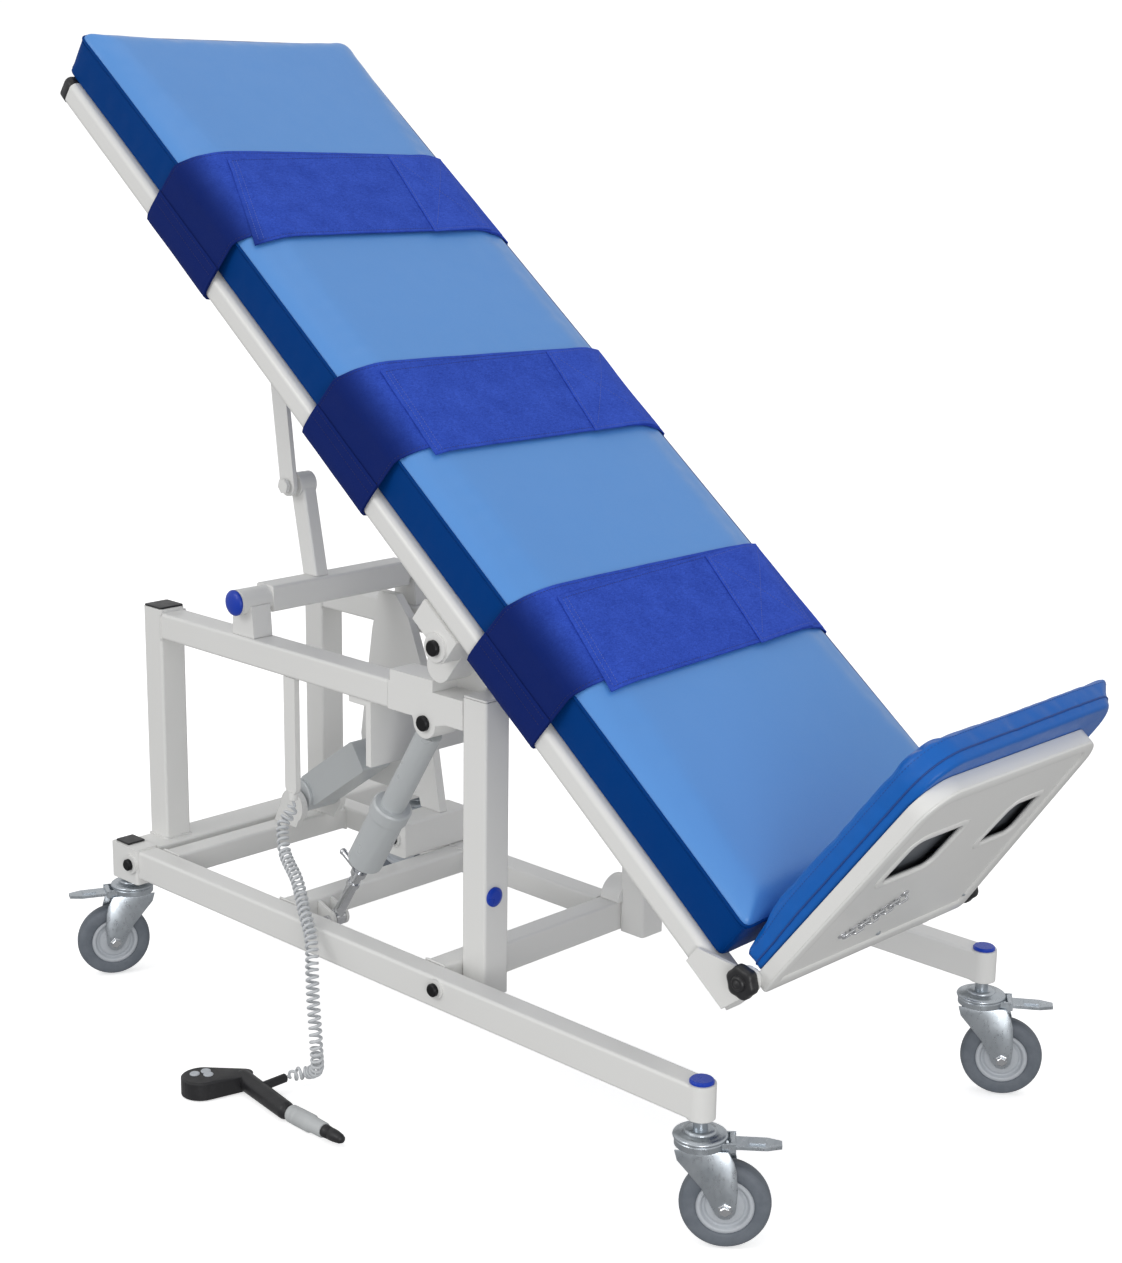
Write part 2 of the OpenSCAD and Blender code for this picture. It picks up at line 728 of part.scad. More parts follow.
// Bed frame
module bed_near_rail() {
  color(white) on_bed()
    tube_x([cap_t + seat, bed_y, 0], bed_len - cap_t - seat, bed_rail, bed_rail, bed_rail_r);
}
module bed_far_rail() {
  color(white) on_bed()
    tube_x([cap_t + seat, bed_far_y - bed_rail, 0], bed_len - cap_t - seat, bed_rail, bed_rail,
      bed_rail_r);
}
bar_first = 40;
link_u = 452;
link_n = -34;
module bed_cross_bars() {
  color(white) on_bed()
    for (u = [bar_first, link_u, hinge_u, bed_len - bar_first * 4, (link_u + hinge_u) / 2])
      tube_y([u - bed_rail / 2, bed_y + bed_rail + seat, 0], bed_w - (bed_rail + seat) * 2,
        bed_rail, bed_rail);
}
module bed_end_caps() {
  color(black) on_bed() for (y = [bed_y, bed_far_y - bed_rail])
    tube_x([0, y + over, over], cap_t, bed_rail - over * 2, bed_rail - over * 2, bed_rail_r - over);
}

// Hinge brackets under the bed: gusset plate, boss and round tongue
gusset_u = 62;
boss_hinge_r = 22;
module tongue(y) {
  difference() {
    union() {
      translate([hinge_u - tongue_w / 2, y, -hinge_drop - tongue_reach + tongue_w / 2])
        cube([tongue_w, post_w - seat * 2, hinge_drop + tongue_reach - tongue_w / 2 - seat]);
      rod_y([hinge_u, y, -hinge_drop - tongue_reach + tongue_w / 2], tongue_w / 2, post_w - seat * 2);
    }
    rod_y([hinge_u, y - over, -hinge_drop], pin_r + run_gap, post_w + over * 2);
  }
}
module hinge_brackets() {
  color(white) on_bed() both_sides() union() {
    tongue(post_y);
    difference() {
      union() {
        plate_xz(bed_y, post_y - bed_y + over) union() {
          translate([hinge_u, -hinge_drop]) circle(r = tongue_w / 2, $fn = fine);
          polygon([[hinge_u - gusset_u, -seat], [hinge_u + tongue_w / 2, -seat],
            [hinge_u + tongue_w / 2, -hinge_drop], [hinge_u - tongue_w / 2, -hinge_drop - tube_r],
            [hinge_u - gusset_u, -hinge_drop - tube_r]]);
        }
        rod_y([hinge_u, bed_y - boss_t, -hinge_drop], boss_hinge_r, boss_t + over);
      }
      rod_y([hinge_u, bed_y - boss_t - over, -hinge_drop], pin_r + run_gap,
        post_y - bed_y + boss_t + over * 3);
    }
  }
}

// Lug of the link bar under the bed
link_y = 205;
link_t = 8;
lug_t = 12;
eye_r = 18;
link_pin_r = 8;
module link_bracket() {
  y = link_y + link_t + gap + gap;
  color(white) on_bed() difference() {
    plate_xz(y, lug_t) union() {
      translate([link_u, link_n]) circle(r = eye_r, $fn = fine);
      translate([link_u - eye_r, link_n]) square([eye_r * 2, -seat - link_n]);
    }
    rod_y([link_u, y - over, link_n], link_pin_r + run_gap, lug_t + over * 2);
  }
}

// Cushion: rings of a rounded rectangle, drawn in at mid height, crowned on top
corner_steps = 6;
function corner_point(c, k, hl, hw, radii) =
  let (a = 90 * c + 90 * k / corner_steps, sx = c == 0 || c == 3 ? 1 : -1, sy = c < 2 ? 1 : -1,
    r = sx > 0 ? radii[0] : radii[1])
  [sx * (hl - r) + r * cos(a), sy * (hw - r) + r * sin(a)];
function ring(hl, hw, r, z) =
  [for (c = [0 : 3], k = [0 : corner_steps]) let (p = corner_point(c, k, hl, hw, r)) [p[0], p[1], z]];
ring_n = 4 * (corner_steps + 1);
// Each crown share gives a ring's length, width and rise
crown_shares = [[0.93, 0.80, 0.45], [0.84, 0.55, 0.82], [0.76, 0.28, 1]];
edge_share = 0.3;
module cushion(l, w, h, corners, edge, draw, crown) {
  hl = l / 2;
  hw = w / 2;
  top = h - crown;
  mid = edge * edge_share;
  rings = [
    ring(hl - edge, hw - edge, corners, 0),
    ring(hl - mid, hw - mid, corners, mid),
    ring(hl, hw, corners, edge),
    ring(hl - draw, hw - draw, corners, h / 2),
    ring(hl, hw, corners, top - edge),
    ring(hl - mid, hw - mid, corners, top - mid),
    ring(hl - edge, hw - edge, corners, top),
    for (s = crown_shares) ring(hl * s[0], hw * s[1], corners, top + crown * s[2])];
  points = [for (r = rings) each r];
  last = len(rings) - 1;
  faces = [
    for (m = [0 : last - 1], j = [0 : ring_n - 1])
      let (p = m * ring_n + j, q = m * ring_n + (j + 1) % ring_n)
      each [[p, p + ring_n, q], [q, p + ring_n, q + ring_n]],
    for (j = [1 : ring_n - 2]) [0, j, j + 1],
    for (j = [1 : ring_n - 2]) [last * ring_n, last * ring_n + j + 1, last * ring_n + j]];
  polyhedron(points = points, faces = faces);
}

pad_u = 8;
module bed_pad() {
  color(light_blue) on_bed()
    translate([pad_u + pad_len / 2, pad_far_y - pad_w / 2, pad_low + seat])
      cushion(pad_len, pad_w, pad_t - seat, [pad_corner, pad_corner], pad_edge, pad_draw, pad_crown);
}

// Straps: a band round the near rail, over the pad and down the far side
strap_r = 8;
strap_off = strap_t + seat;
tuck_y = bed_far_y + bed_rail / 2;
module area(low, high) {
  translate(low) square(high - low);
}
module round_area(low, high) {
  translate((low + high) / 2) round_rect(high[0] - low[0], high[1] - low[1], strap_r);
}
module strap_outline() {
  difference() {
    union() {
      round_area([bed_y - strap_off, -strap_off], [frame_mid, pad_top + strap_off]);
      round_area([bed_y - strap_off, pad_low - strap_off], [pad_far_y + strap_off, pad_top + strap_off]);
    }
    area([bed_y - seat, -seat], [frame_mid + over, pad_top + seat]);
    area([bed_y - seat, pad_low - seat], [pad_far_y + seat, pad_top + seat]);
    area([bed_y + bed_rail, -strap_off - over], [tuck_y, pad_low]);
  }
}
module strap(u) {
  color(navy) on_bed() translate([u, 0, 0]) rotate([90, 0, 90])
    linear_extrude(strap_w) strap_outline();
}
// Starts of the three straps along the bed
strap_shares = [0.156, 0.4144, 0.6625];
module strap_head() { strap(bed_len * strap_shares[0]); }
module strap_mid() { strap(bed_len * strap_shares[1]); }
module strap_foot() { strap(bed_len * strap_shares[2]); }

// Foot board on its two ears
board_u = bed_len - cap_t;
board_y = frame_mid - board_w / 2;
ear_r = 18;
ear_t = 6;
knob_pin_r = 6;
module on_board() {
  on_bed() translate([board_u, 0, board_axis_n]) children();
}
module foot_ears() {
  color(white) on_bed() for (y = [bed_y - ear_t - seat, bed_far_y + seat])
    difference() {
      plate_xz(y, ear_t) union() {
        translate([board_u, board_axis_n]) circle(r = ear_r, $fn = fine);
        polygon([[board_u - bed_rail * 2, tube_r], [board_u, tube_r],
          [board_u + ear_r, board_axis_n], [board_u - ear_r, board_axis_n],
          [board_u - bed_rail * 2, bed_rail - tube_r]]);
      }
      rod_y([board_u, y - over, board_axis_n], knob_pin_r + run_gap, ear_t + over * 2);
    }
}
tray_low = -ear_r / 2;
tray_r = 14;
cut_w = 112;
cut_h = 92;
cut_r = 18;
cut_gap = 108;
cut_share = 0.6;
// Outline with two corner radii, from its low corner
module tray_face(w, h, low_r, high_r) {
  area([0, low_r], [w, h - high_r]);
  area([low_r, 0], [w - low_r, h / 2]);
  area([high_r, h / 2], [w - high_r, h]);
  for (y = [low_r, w - low_r]) translate([y, low_r]) circle(r = low_r, $fn = fine);
  for (y = [high_r, w - high_r]) translate([y, h - high_r]) circle(r = high_r, $fn = fine);
}
module footrest_tray() {
  color(white) on_board() difference() {
    union() {
      translate([0, board_y, tray_low]) rotate([90, 0, 90]) linear_extrude(tray_d)
        tray_face(board_w, board_h, tray_r, board_corner);
      for (y = [bed_y + gap / 2, board_y + board_w - over])
        rod_y([0, y, 0], ear_r - tube_r, board_y - bed_y - gap / 2 + over);
    }
    translate([-over, board_y + sheet_t, tray_low + sheet_t]) rotate([90, 0, 90])
      linear_extrude(tray_d - sheet_t + over)
        tray_face(board_w - sheet_t * 2, board_h - sheet_t * 2, tray_r - sheet_t, board_corner - sheet_t);
    for (side = [-1, 1])
      translate([tray_d / 2, frame_mid + side * (cut_w + cut_gap) / 2, board_h * cut_share])
        rotate([90, 0, 90]) linear_extrude(tray_d) round_rect(cut_w, cut_h, cut_r);
    rod_y([0, bed_y - over, 0], knob_pin_r + run_gap, bed_w + over * 2);
  }
}
// The pad stands in front of the tray's rim and above its top
board_pad_lift = ear_r + gap;
board_pad_h = board_h - board_pad_lift;
board_pad_over = 14;
module footrest_pad() {
  color(blue) on_board()
    translate([-seat, frame_mid, tray_low + board_pad_lift + board_pad_over + board_pad_h / 2])
      rotate([0, -90, 0])
        cushion(board_pad_h, board_w - sheet_t * 2, board_pad_t, [board_corner, tray_r], board_edge,
          gap, pad_crown);
}
// Row of chrome links on the tray's outer face
hook_r = 9;
hook_w = 3;
hook_len = 93;
hook_count = 3;
hook_turn = 38;
hook_in = 104;
hook_rise = 82;
module footrest_hooks() {
  color(zinc) on_board() translate([tray_d + seat, board_y + hook_in, hook_rise])
    rotate([90, 0, 90]) rotate([0, 0, hook_turn]) union() {
      for (k = [0 : hook_count - 1]) translate([k * hook_len / hook_count, 0, 0])
        linear_extrude(hook_w) difference() {
          round_rect(hook_len / hook_count + hook_w, hook_r * 2, hook_r - over);
          round_rect(hook_len / hook_count - hook_w, (hook_r - hook_w) * 2, hook_r - hook_w - over);
        }
      for (k = [0 : hook_count]) translate([(k - 1 / 2) * hook_len / hook_count, 0, 0])
        cylinder(r = hook_w, h = hook_w * 2, $fn = fine);
    }
}

// Star knobs with their threaded pins
knob_r = 21;
knob_t = 18;
lobes = 6;
module star_knob(y, side) {
  color(black) on_board() translate([0, y, 0]) rotate([90 * side, 0, 0]) union() {
    translate([0, 0, gap / 2]) cylinder(r = knob_r - tube_r, h = knob_t, $fn = fine);
    for (k = [0 : lobes - 1]) rotate([0, 0, k * 360 / lobes])
      translate([knob_r - tube_r, 0, gap / 2 + bevel_t])
        cylinder(r = tube_r + bevel_t, h = knob_t - bevel_t * 2, $fn = 24);
    translate([0, 0, knob_t]) cylinder(r1 = knob_r / 2, r2 = knob_r / 3, h = tube_r, $fn = fine);
    translate([0, 0, -ear_t - ear_t]) cylinder(r = knob_pin_r, h = ear_t * 2 + gap, $fn = fine);
  }
}
module knob_near() { star_knob(bed_y - ear_t - seat, 1); }
module knob_far() { star_knob(bed_far_y + ear_t + seat, -1); }

// Rocker tube, its lever and the link bar
rocker_y = post_y - tube_r;
rocker_end = far_post_y + post_w + tube_r;
lever_y = 224;
lever_w = 36;
lever_d = 28;
module at_rocker() {
  placed() translate([rocker_x, 0, rocker_z]) children();
}
module rocker_tube() {
  color(white) at_rocker() union() {
    rod_y([0, rocker_y, 0], journal_r, rocker_end - rocker_y);
    bolt_head([0, rocker_y, 0], journal_r - over, cap_t * 2);
    tube_y([-rocker_w / 2, post_y + post_w + gap, -rocker_w / 2],
      far_post_y - post_y - post_w - gap * 2, rocker_w, rocker_w);
  }
}
module rocker_lever() {
  color(white) at_rocker() difference() {
    rotate([0, 90 - lever_angle, 0]) union() {
      tube_z([-lever_w / 2, lever_y, rocker_w / 2 - tube_r], lever_len - rocker_w / 2 + tube_r,
        lever_w, lever_d);
      rod_y([0, lever_y - boss_t, lever_len], lever_w / 2 + bevel_t, lever_d + boss_t);
      rod_y([0, link_y - gap, lever_len], link_pin_r, lever_y - link_y + gap);
      translate([0, link_y - gap, lever_len]) rotate([90, 0, 0])
        cylinder(r = link_pin_r + tube_r, h = bolt_h, $fn = 6);
    }
    block([-rocker_w, lever_y - over, -rocker_w], [rocker_w, lever_y + lever_d + over, rocker_w / 2 + seat]);
  }
}
link_x = rocker_x + lever_len * cos(lever_angle);
link_z = rocker_z + lever_len * sin(lever_angle);
module link_bar() {
  color(white) placed() translate([link_x, 0, link_z]) rotate([0, 90 - link_angle, 0]) difference() {
    plate_xz(link_y, link_t) union() {
      circle(r = eye_r, $fn = fine);
      translate([0, link_len]) circle(r = eye_r, $fn = fine);
      translate([-eye_r, 0]) square([eye_r * 2, link_len]);
    }
    rod_y([0, link_y - over, 0], link_pin_r + run_gap, link_t + over * 2);
    rod_y([0, link_y - over, link_len], link_pin_r + run_gap, link_t + over * 2);
  }
}

// Casters: swivel axis places and the directions that the wheels trail
caster_places = [[base_length - caster_in, caster_in], [base_length - caster_in, base_width - caster_in],
  [block_x + caster_in + tube_r, caster_in], [block_x + caster_in + tube_r, base_width - caster_in]];
caster_turns = [40, 35, -115, 200];
fork_t = 3;
axle_r = 5;
axle_z = wheel_d / 2;
crown_rise = 22;
crown_z = wheel_d + crown_rise;
head_h = 16;
leg_y = wheel_w / 2 + gap;
leg_r = 13;
pedal_off = 8;
fork_back = swivel_r - tube_r * 2;
fork_front = swivel_r - pedal_off;
module at_caster(i) {
  placed() translate([caster_places[i][0], caster_places[i][1], 0])
    rotate([0, 0, caster_turns[i]]) children();
}
pedal_x = swivel_r + pedal_off;
pedal_len = 66;
pedal_w = 30;
pedal_neck_share = 0.7;
pedal_z = crown_z + tube_r;
module caster_fork(i) {
  stem_top = i < 2 ? base_low : i == 2 ? base_low - block_drop : base_low;
  color(zinc) at_caster(i) union() {
    translate([0, 0, crown_z]) cylinder(r = swivel_r, h = head_h / 2, $fn = fine);
    translate([0, 0, crown_z + head_h / 2])
      cylinder(r1 = swivel_r, r2 = swivel_r - tube_r, h = head_h / 2, $fn = fine);
    translate([0, 0, crown_z + head_h - over])
      cylinder(r = tube_r * 2, h = stem_top - seat - crown_z - head_h + over);
    for (side = [-1, 1]) translate([0, side * (leg_y + fork_t / 2) - fork_t / 2, 0])
      plate_xz(0, fork_t) union() {
        translate([trail, axle_z]) circle(r = leg_r, $fn = fine);
        polygon([[-fork_back, crown_z + over], [fork_front, crown_z + over],
          [fork_front + gap, crown_z - swivel_r / 2], [trail + leg_r, axle_z],
          [trail - leg_r, axle_z], [trail - leg_r - gap, crown_z - swivel_r],
          [gap - fork_back, crown_z - leg_r]]);
      }
    block([-fork_back, -leg_y - fork_t, crown_z - fork_t], [fork_front, leg_y + fork_t, crown_z + over]);
    for (y = [-pedal_w / 2 - over - fork_t, pedal_w / 2 + over])
      block([0, y, crown_z - fork_t], [pedal_x + tube_r, y + fork_t, pedal_z + tube_r]);
    rod_y([pedal_x, -pedal_w / 2 - over - fork_t, pedal_z], tube_r / 2, pedal_w + (over + fork_t) * 2, 24);
    rod_y([trail, -leg_y - fork_t - tube_r, axle_z], axle_r, leg_y * 2 + fork_t * 2 + tube_r * 2);
    rod_y([trail, -leg_y - fork_t - tube_r, axle_z], axle_r + gap, tube_r, 6);
    rod_y([trail, leg_y + fork_t, axle_z], axle_r + gap, tube_r, 6);
  }
}
tread_r = 6;
rim_share = 0.66;
module caster_wheel(i) {
  r = wheel_d / 2;
  rim = r * rim_share;
  web = wheel_w / 5;
  hub = axle_r + pedal_off;
  color(rubber) at_caster(i) translate([trail, 0, axle_z]) rotate([90, 0, 0]) rotate_extrude($fn = 64)
    polygon([[axle_r + run_gap, -wheel_w / 2], [hub, -wheel_w / 2], [hub + gap, -web],
      [rim - tube_r, -web], [rim, -wheel_w / 2 + over], [r - tread_r, -wheel_w / 2],
      [r - bevel_t, -wheel_w / 4],
      [r, 0], [r - bevel_t, wheel_w / 4], [r - tread_r, wheel_w / 2], [rim, wheel_w / 2 - over],
      [rim - tube_r, web], [hub + gap, web], [hub, wheel_w / 2], [axle_r + run_gap, wheel_w / 2]]);
}
module caster_pedal(i) {
  color(zinc) at_caster(i) difference() {
    union() {
      rod_y([pedal_x, -pedal_w / 2, pedal_z], tube_r, pedal_w, 24);
      translate([pedal_x, 0, pedal_z - tube_r]) linear_extrude(tube_r) polygon([
        [0, -pedal_w / 2], [pedal_len * pedal_neck_share, -pedal_w / 2],
        [pedal_len, -pedal_w / 4], [pedal_len, pedal_w / 4],
        [pedal_len * pedal_neck_share, pedal_w / 2], [0, pedal_w / 2]]);
      translate([pedal_x + pedal_len / 3, -pedal_w / 4, pedal_z - tube_r])
        cube([pedal_len / 3, pedal_w / 2, tube_r + bevel_t]);
    }
    rod_y([pedal_x, -pedal_w / 2 - over, pedal_z], tube_r / 2 + run_gap, pedal_w + over * 2, 24);
  }
}

near_rail();
rear_block();
rear_cross();
inner_crosses();
front_cross();
inner_rail();
far_arm();
landing_beam();
rear_posts();
front_posts();
upper_rails();
hinge_heads();
hinge_pins();
saddles();
cross_panel();
support_plate();
lift_cylinder();
cylinder_foot();
valve_lever();
box_unit();
cylinder_ears();
clevis();
hanger_bar();
blue_caps();
black_caps();
frame_bolts();
curly_cord();
handset();
handset_sleeve();
bed_near_rail();
bed_far_rail();
bed_cross_bars();
bed_end_caps();
hinge_brackets();
link_bracket();
bed_pad();
strap_head();
strap_mid();
strap_foot();
foot_ears();
footrest_tray();
footrest_pad();
footrest_hooks();
knob_near();
knob_far();
rocker_tube();
rocker_lever();
link_bar();
caster_fork(0);  // caster_fork_1
caster_fork(1);  // caster_fork_2
caster_fork(2);  // caster_fork_3
caster_fork(3);  // caster_fork_4
caster_wheel(0);  // caster_wheel_1
caster_wheel(1);  // caster_wheel_2
caster_wheel(2);  // caster_wheel_3
caster_wheel(3);  // caster_wheel_4
caster_pedal(0);  // caster_pedal_1
caster_pedal(1);  // caster_pedal_2
caster_pedal(2);  // caster_pedal_3
caster_pedal(3);  // caster_pedal_4
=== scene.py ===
# Tilt table for physiotherapy: materials, padded pieces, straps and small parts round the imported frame
import json
import math
import bmesh
import bpy
import numpy as np
from mathutils import Matrix, Vector, noise
from mathutils.bvhtree import BVHTree


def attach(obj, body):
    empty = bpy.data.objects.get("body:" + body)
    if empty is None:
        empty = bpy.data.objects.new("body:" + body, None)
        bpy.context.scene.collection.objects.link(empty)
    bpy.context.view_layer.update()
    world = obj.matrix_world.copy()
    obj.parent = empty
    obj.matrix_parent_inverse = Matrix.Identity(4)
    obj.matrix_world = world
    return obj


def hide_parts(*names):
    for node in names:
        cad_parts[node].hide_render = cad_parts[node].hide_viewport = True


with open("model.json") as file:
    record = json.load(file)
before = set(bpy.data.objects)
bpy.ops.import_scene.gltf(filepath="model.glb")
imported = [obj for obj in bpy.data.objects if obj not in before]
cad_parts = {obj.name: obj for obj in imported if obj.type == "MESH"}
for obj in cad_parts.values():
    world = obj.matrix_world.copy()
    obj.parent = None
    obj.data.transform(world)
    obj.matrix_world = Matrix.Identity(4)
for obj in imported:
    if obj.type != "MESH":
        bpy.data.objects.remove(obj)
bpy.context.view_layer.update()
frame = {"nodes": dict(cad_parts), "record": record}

# Places: design millimetres to the shared frame in metres
MM = 0.001
CENTRE_X = 0.7616
CENTRE_Y = 0.2668
TILT = math.radians(38)
HINGE_X = 787
HINGE_Z = 722
HINGE_U = 1194
HINGE_DROP = 37
BED_X = HINGE_X - HINGE_U * math.cos(TILT) + HINGE_DROP * math.sin(TILT)
BED_Z = HINGE_Z + HINGE_U * math.sin(TILT) + HINGE_DROP * math.cos(TILT)
BED_Y = 42
BED_FAR_Y = 510
RAIL = 40
BOARD_U = 1870
BOARD_N = 74
MID_Y = 276


def at(x, y, z):
    return Vector((x * MM - CENTRE_X, y * MM - CENTRE_Y, z * MM))


def on_bed(u, y, n):
    x = BED_X + u * math.cos(TILT) + n * math.sin(TILT)
    z = BED_Z - u * math.sin(TILT) + n * math.cos(TILT)
    return at(x, y, z)


def on_board(u, y, n):
    return on_bed(BOARD_U + u, y, BOARD_N + n)


# Camera
def make_camera():
    yaw = math.radians(-44.331)
    pitch = math.radians(13.839)
    roll = math.radians(0.758)
    ahead = Vector((math.sin(yaw) * math.cos(pitch), math.cos(yaw) * math.cos(pitch), -math.sin(pitch)))
    right = Vector((math.cos(yaw), -math.sin(yaw), 0))
    up = right.cross(ahead)
    right_rolled = right * math.cos(roll) + up * math.sin(roll)
    up_rolled = up * math.cos(roll) - right * math.sin(roll)
    turn = Matrix((right_rolled, up_rolled, -ahead)).transposed()
    data = bpy.data.cameras.new("camera")
    data.sensor_width = 36
    data.lens = 61.23
    data.shift_x = 0.00792
    data.shift_y = -0.00166
    data.clip_end = 100
    camera = bpy.data.objects.new("camera", data)
    bpy.context.scene.collection.objects.link(camera)
    camera.matrix_world = Matrix.Translation(Vector((2.2475, -2.2624, 1.4928))) @ turn.to_4x4()
    bpy.context.scene.camera = camera


make_camera()


# Mesh pieces
def make_piece(name, points, faces, material, smooth=True):
    mesh = bpy.data.meshes.new(name)
    mesh.from_pydata([tuple(p) for p in points], [], faces)
    mesh.validate()
    shape = bmesh.new()
    shape.from_mesh(mesh)
    bmesh.ops.recalc_face_normals(shape, faces=shape.faces)
    shape.to_mesh(mesh)
    shape.free()
    mesh.update()
    for polygon in mesh.polygons:
        polygon.use_smooth = smooth
    piece = bpy.data.objects.new(name, mesh)
    bpy.context.scene.collection.objects.link(piece)
    if material is not None:
        mesh.materials.append(material)
    return piece


def apply_modifiers(piece):
    graph = bpy.context.evaluated_depsgraph_get()
    mesh = bpy.data.meshes.new_from_object(piece.evaluated_get(graph))
    old = piece.data
    piece.modifiers.clear()
    piece.data = mesh
    bpy.data.meshes.remove(old)


def tube(points, radius, sides=10, closed=False, wobble=0):
    """Vertices and faces of a round tube along points in metres"""
    count = len(points)
    verts = []
    faces = []
    side = None
    for i, p in enumerate(points):
        before = points[(i - 1) % count] if closed else points[max(0, i - 1)]
        after = points[(i + 1) % count] if closed else points[min(count - 1, i + 1)]
        ahead = (after - before).normalized()
        if side is None:
            side = ahead.orthogonal().normalized()
        side = (side - ahead * side.dot(ahead)).normalized()
        other = ahead.cross(side)
        r = radius[i] if hasattr(radius, "__len__") else radius
        if wobble:
            r = r * (1 + wobble * noise.noise(p * 900))
        for k in range(sides):
            turn = 2 * math.pi * k / sides
            verts.append(p + (side * math.cos(turn) + other * math.sin(turn)) * r)
    rings = count if closed else count - 1
    for i in range(rings):
        for k in range(sides):
            a = i * sides + k
            b = i * sides + (k + 1) % sides
            c = ((i + 1) % count) * sides + (k + 1) % sides
            d = ((i + 1) % count) * sides + k
            faces.append((a, b, c, d))
    if not closed:
        faces.append(tuple(reversed(range(sides))))
        faces.append(tuple(range((count - 1) * sides, count * sides)))
    return verts, faces


def joined(parts):
    """One list of vertices and faces from several"""
    verts = []
    faces = []
    for part_verts, part_faces in parts:
        base = len(verts)
        verts.extend(part_verts)
        faces.extend(tuple(base + i for i in face) for face in part_faces)
    return verts, faces


def lists(shape):
    """Vertices and faces of a finished bmesh"""
    shape.verts.index_update()
    verts = [v.co.copy() for v in shape.verts]
    faces = [tuple(v.index for v in face.verts) for face in shape.faces]
    shape.free()
    return verts, faces


def lathe(profile, centre, axis, sides=48, ripple=0, ripples=0, ring=False):
    """Turned solid: profile is a list of (radius, along the axis) in metres; a ring joins its ends"""
    axis = axis.normalized()
    side = axis.orthogonal().normalized()
    other = axis.cross(side)
    shape = bmesh.new()
    line = [shape.verts.new(centre + axis * along + side * radius) for radius, along in profile]
    edges = [shape.edges.new(pair) for pair in zip(line, line[1:])]
    if ring:
        edges.append(shape.edges.new((line[-1], line[0])))
    bmesh.ops.spin(shape, geom=line + edges, cent=centre, axis=axis, angle=2 * math.pi, steps=sides,
                   use_merge=True)
    if not ring:
        bmesh.ops.holes_fill(shape, edges=shape.edges[:], sides=0)
    if ripple:
        for v in shape.verts:
            away = v.co - centre
            flat = away - axis * away.dot(axis)
            turn = math.atan2(flat.dot(other), flat.dot(side))
            v.co += flat * ripple * math.cos(ripples * turn)
    bmesh.ops.recalc_face_normals(shape, faces=shape.faces[:])
    return lists(shape)


def plate(outline, place, depth, edge=0.0008):
    """Flat plate: the outline is filled, pushed out to its thickness and its edges broken"""
    shape = bmesh.new()
    face = shape.faces.new([shape.verts.new(place(a, b)) for a, b in outline])
    grown = bmesh.ops.extrude_face_region(shape, geom=[face])
    moved = [v for v in grown["geom"] if isinstance(v, bmesh.types.BMVert)]
    bmesh.ops.translate(shape, verts=moved, vec=depth)
    bmesh.ops.holes_fill(shape, edges=shape.edges[:], sides=0)
    bmesh.ops.recalc_face_normals(shape, faces=shape.faces[:])
    sharp = [e for e in shape.edges if e.calc_face_angle(0) > 0.7]
    bmesh.ops.bevel(shape, geom=sharp, offset=edge, offset_type="OFFSET", segments=2, profile=0.5,
                    affect="EDGES", material=-1)
    return lists(shape)


# Materials
def linear(r, g, b):
    def one(v):
        v = v / 255
        return v / 12.92 if v <= 0.04045 else ((v + 0.055) / 1.055) ** 2.4
    return (one(r), one(g), one(b), 1)


class Tree:
    """Short way to add nodes to one node tree"""

    def __init__(self, tree):
        self.tree = tree
        self.tree.nodes.clear()

    def link(self, a, b):
        self.tree.links.new(a, b)

    def give(self, node, inputs):
        """Sets numbers and colours, links outputs and leaves out what is None"""
        for key, value in inputs.items():
            if isinstance(value, (int, float, tuple)):
                node.inputs[key].default_value = value
            elif value is not None:
                self.link(value, node.inputs[key])

    def add(self, kind, inputs=None):
        node = self.tree.nodes.new(kind)
        self.give(node, inputs or {})
        return node

    def mix(self, share, a, b):
        node = self.add("ShaderNodeMix")
        node.data_type = "RGBA"
        self.give(node, {"Factor": share, 6: a, 7: b})
        return node.outputs[2]


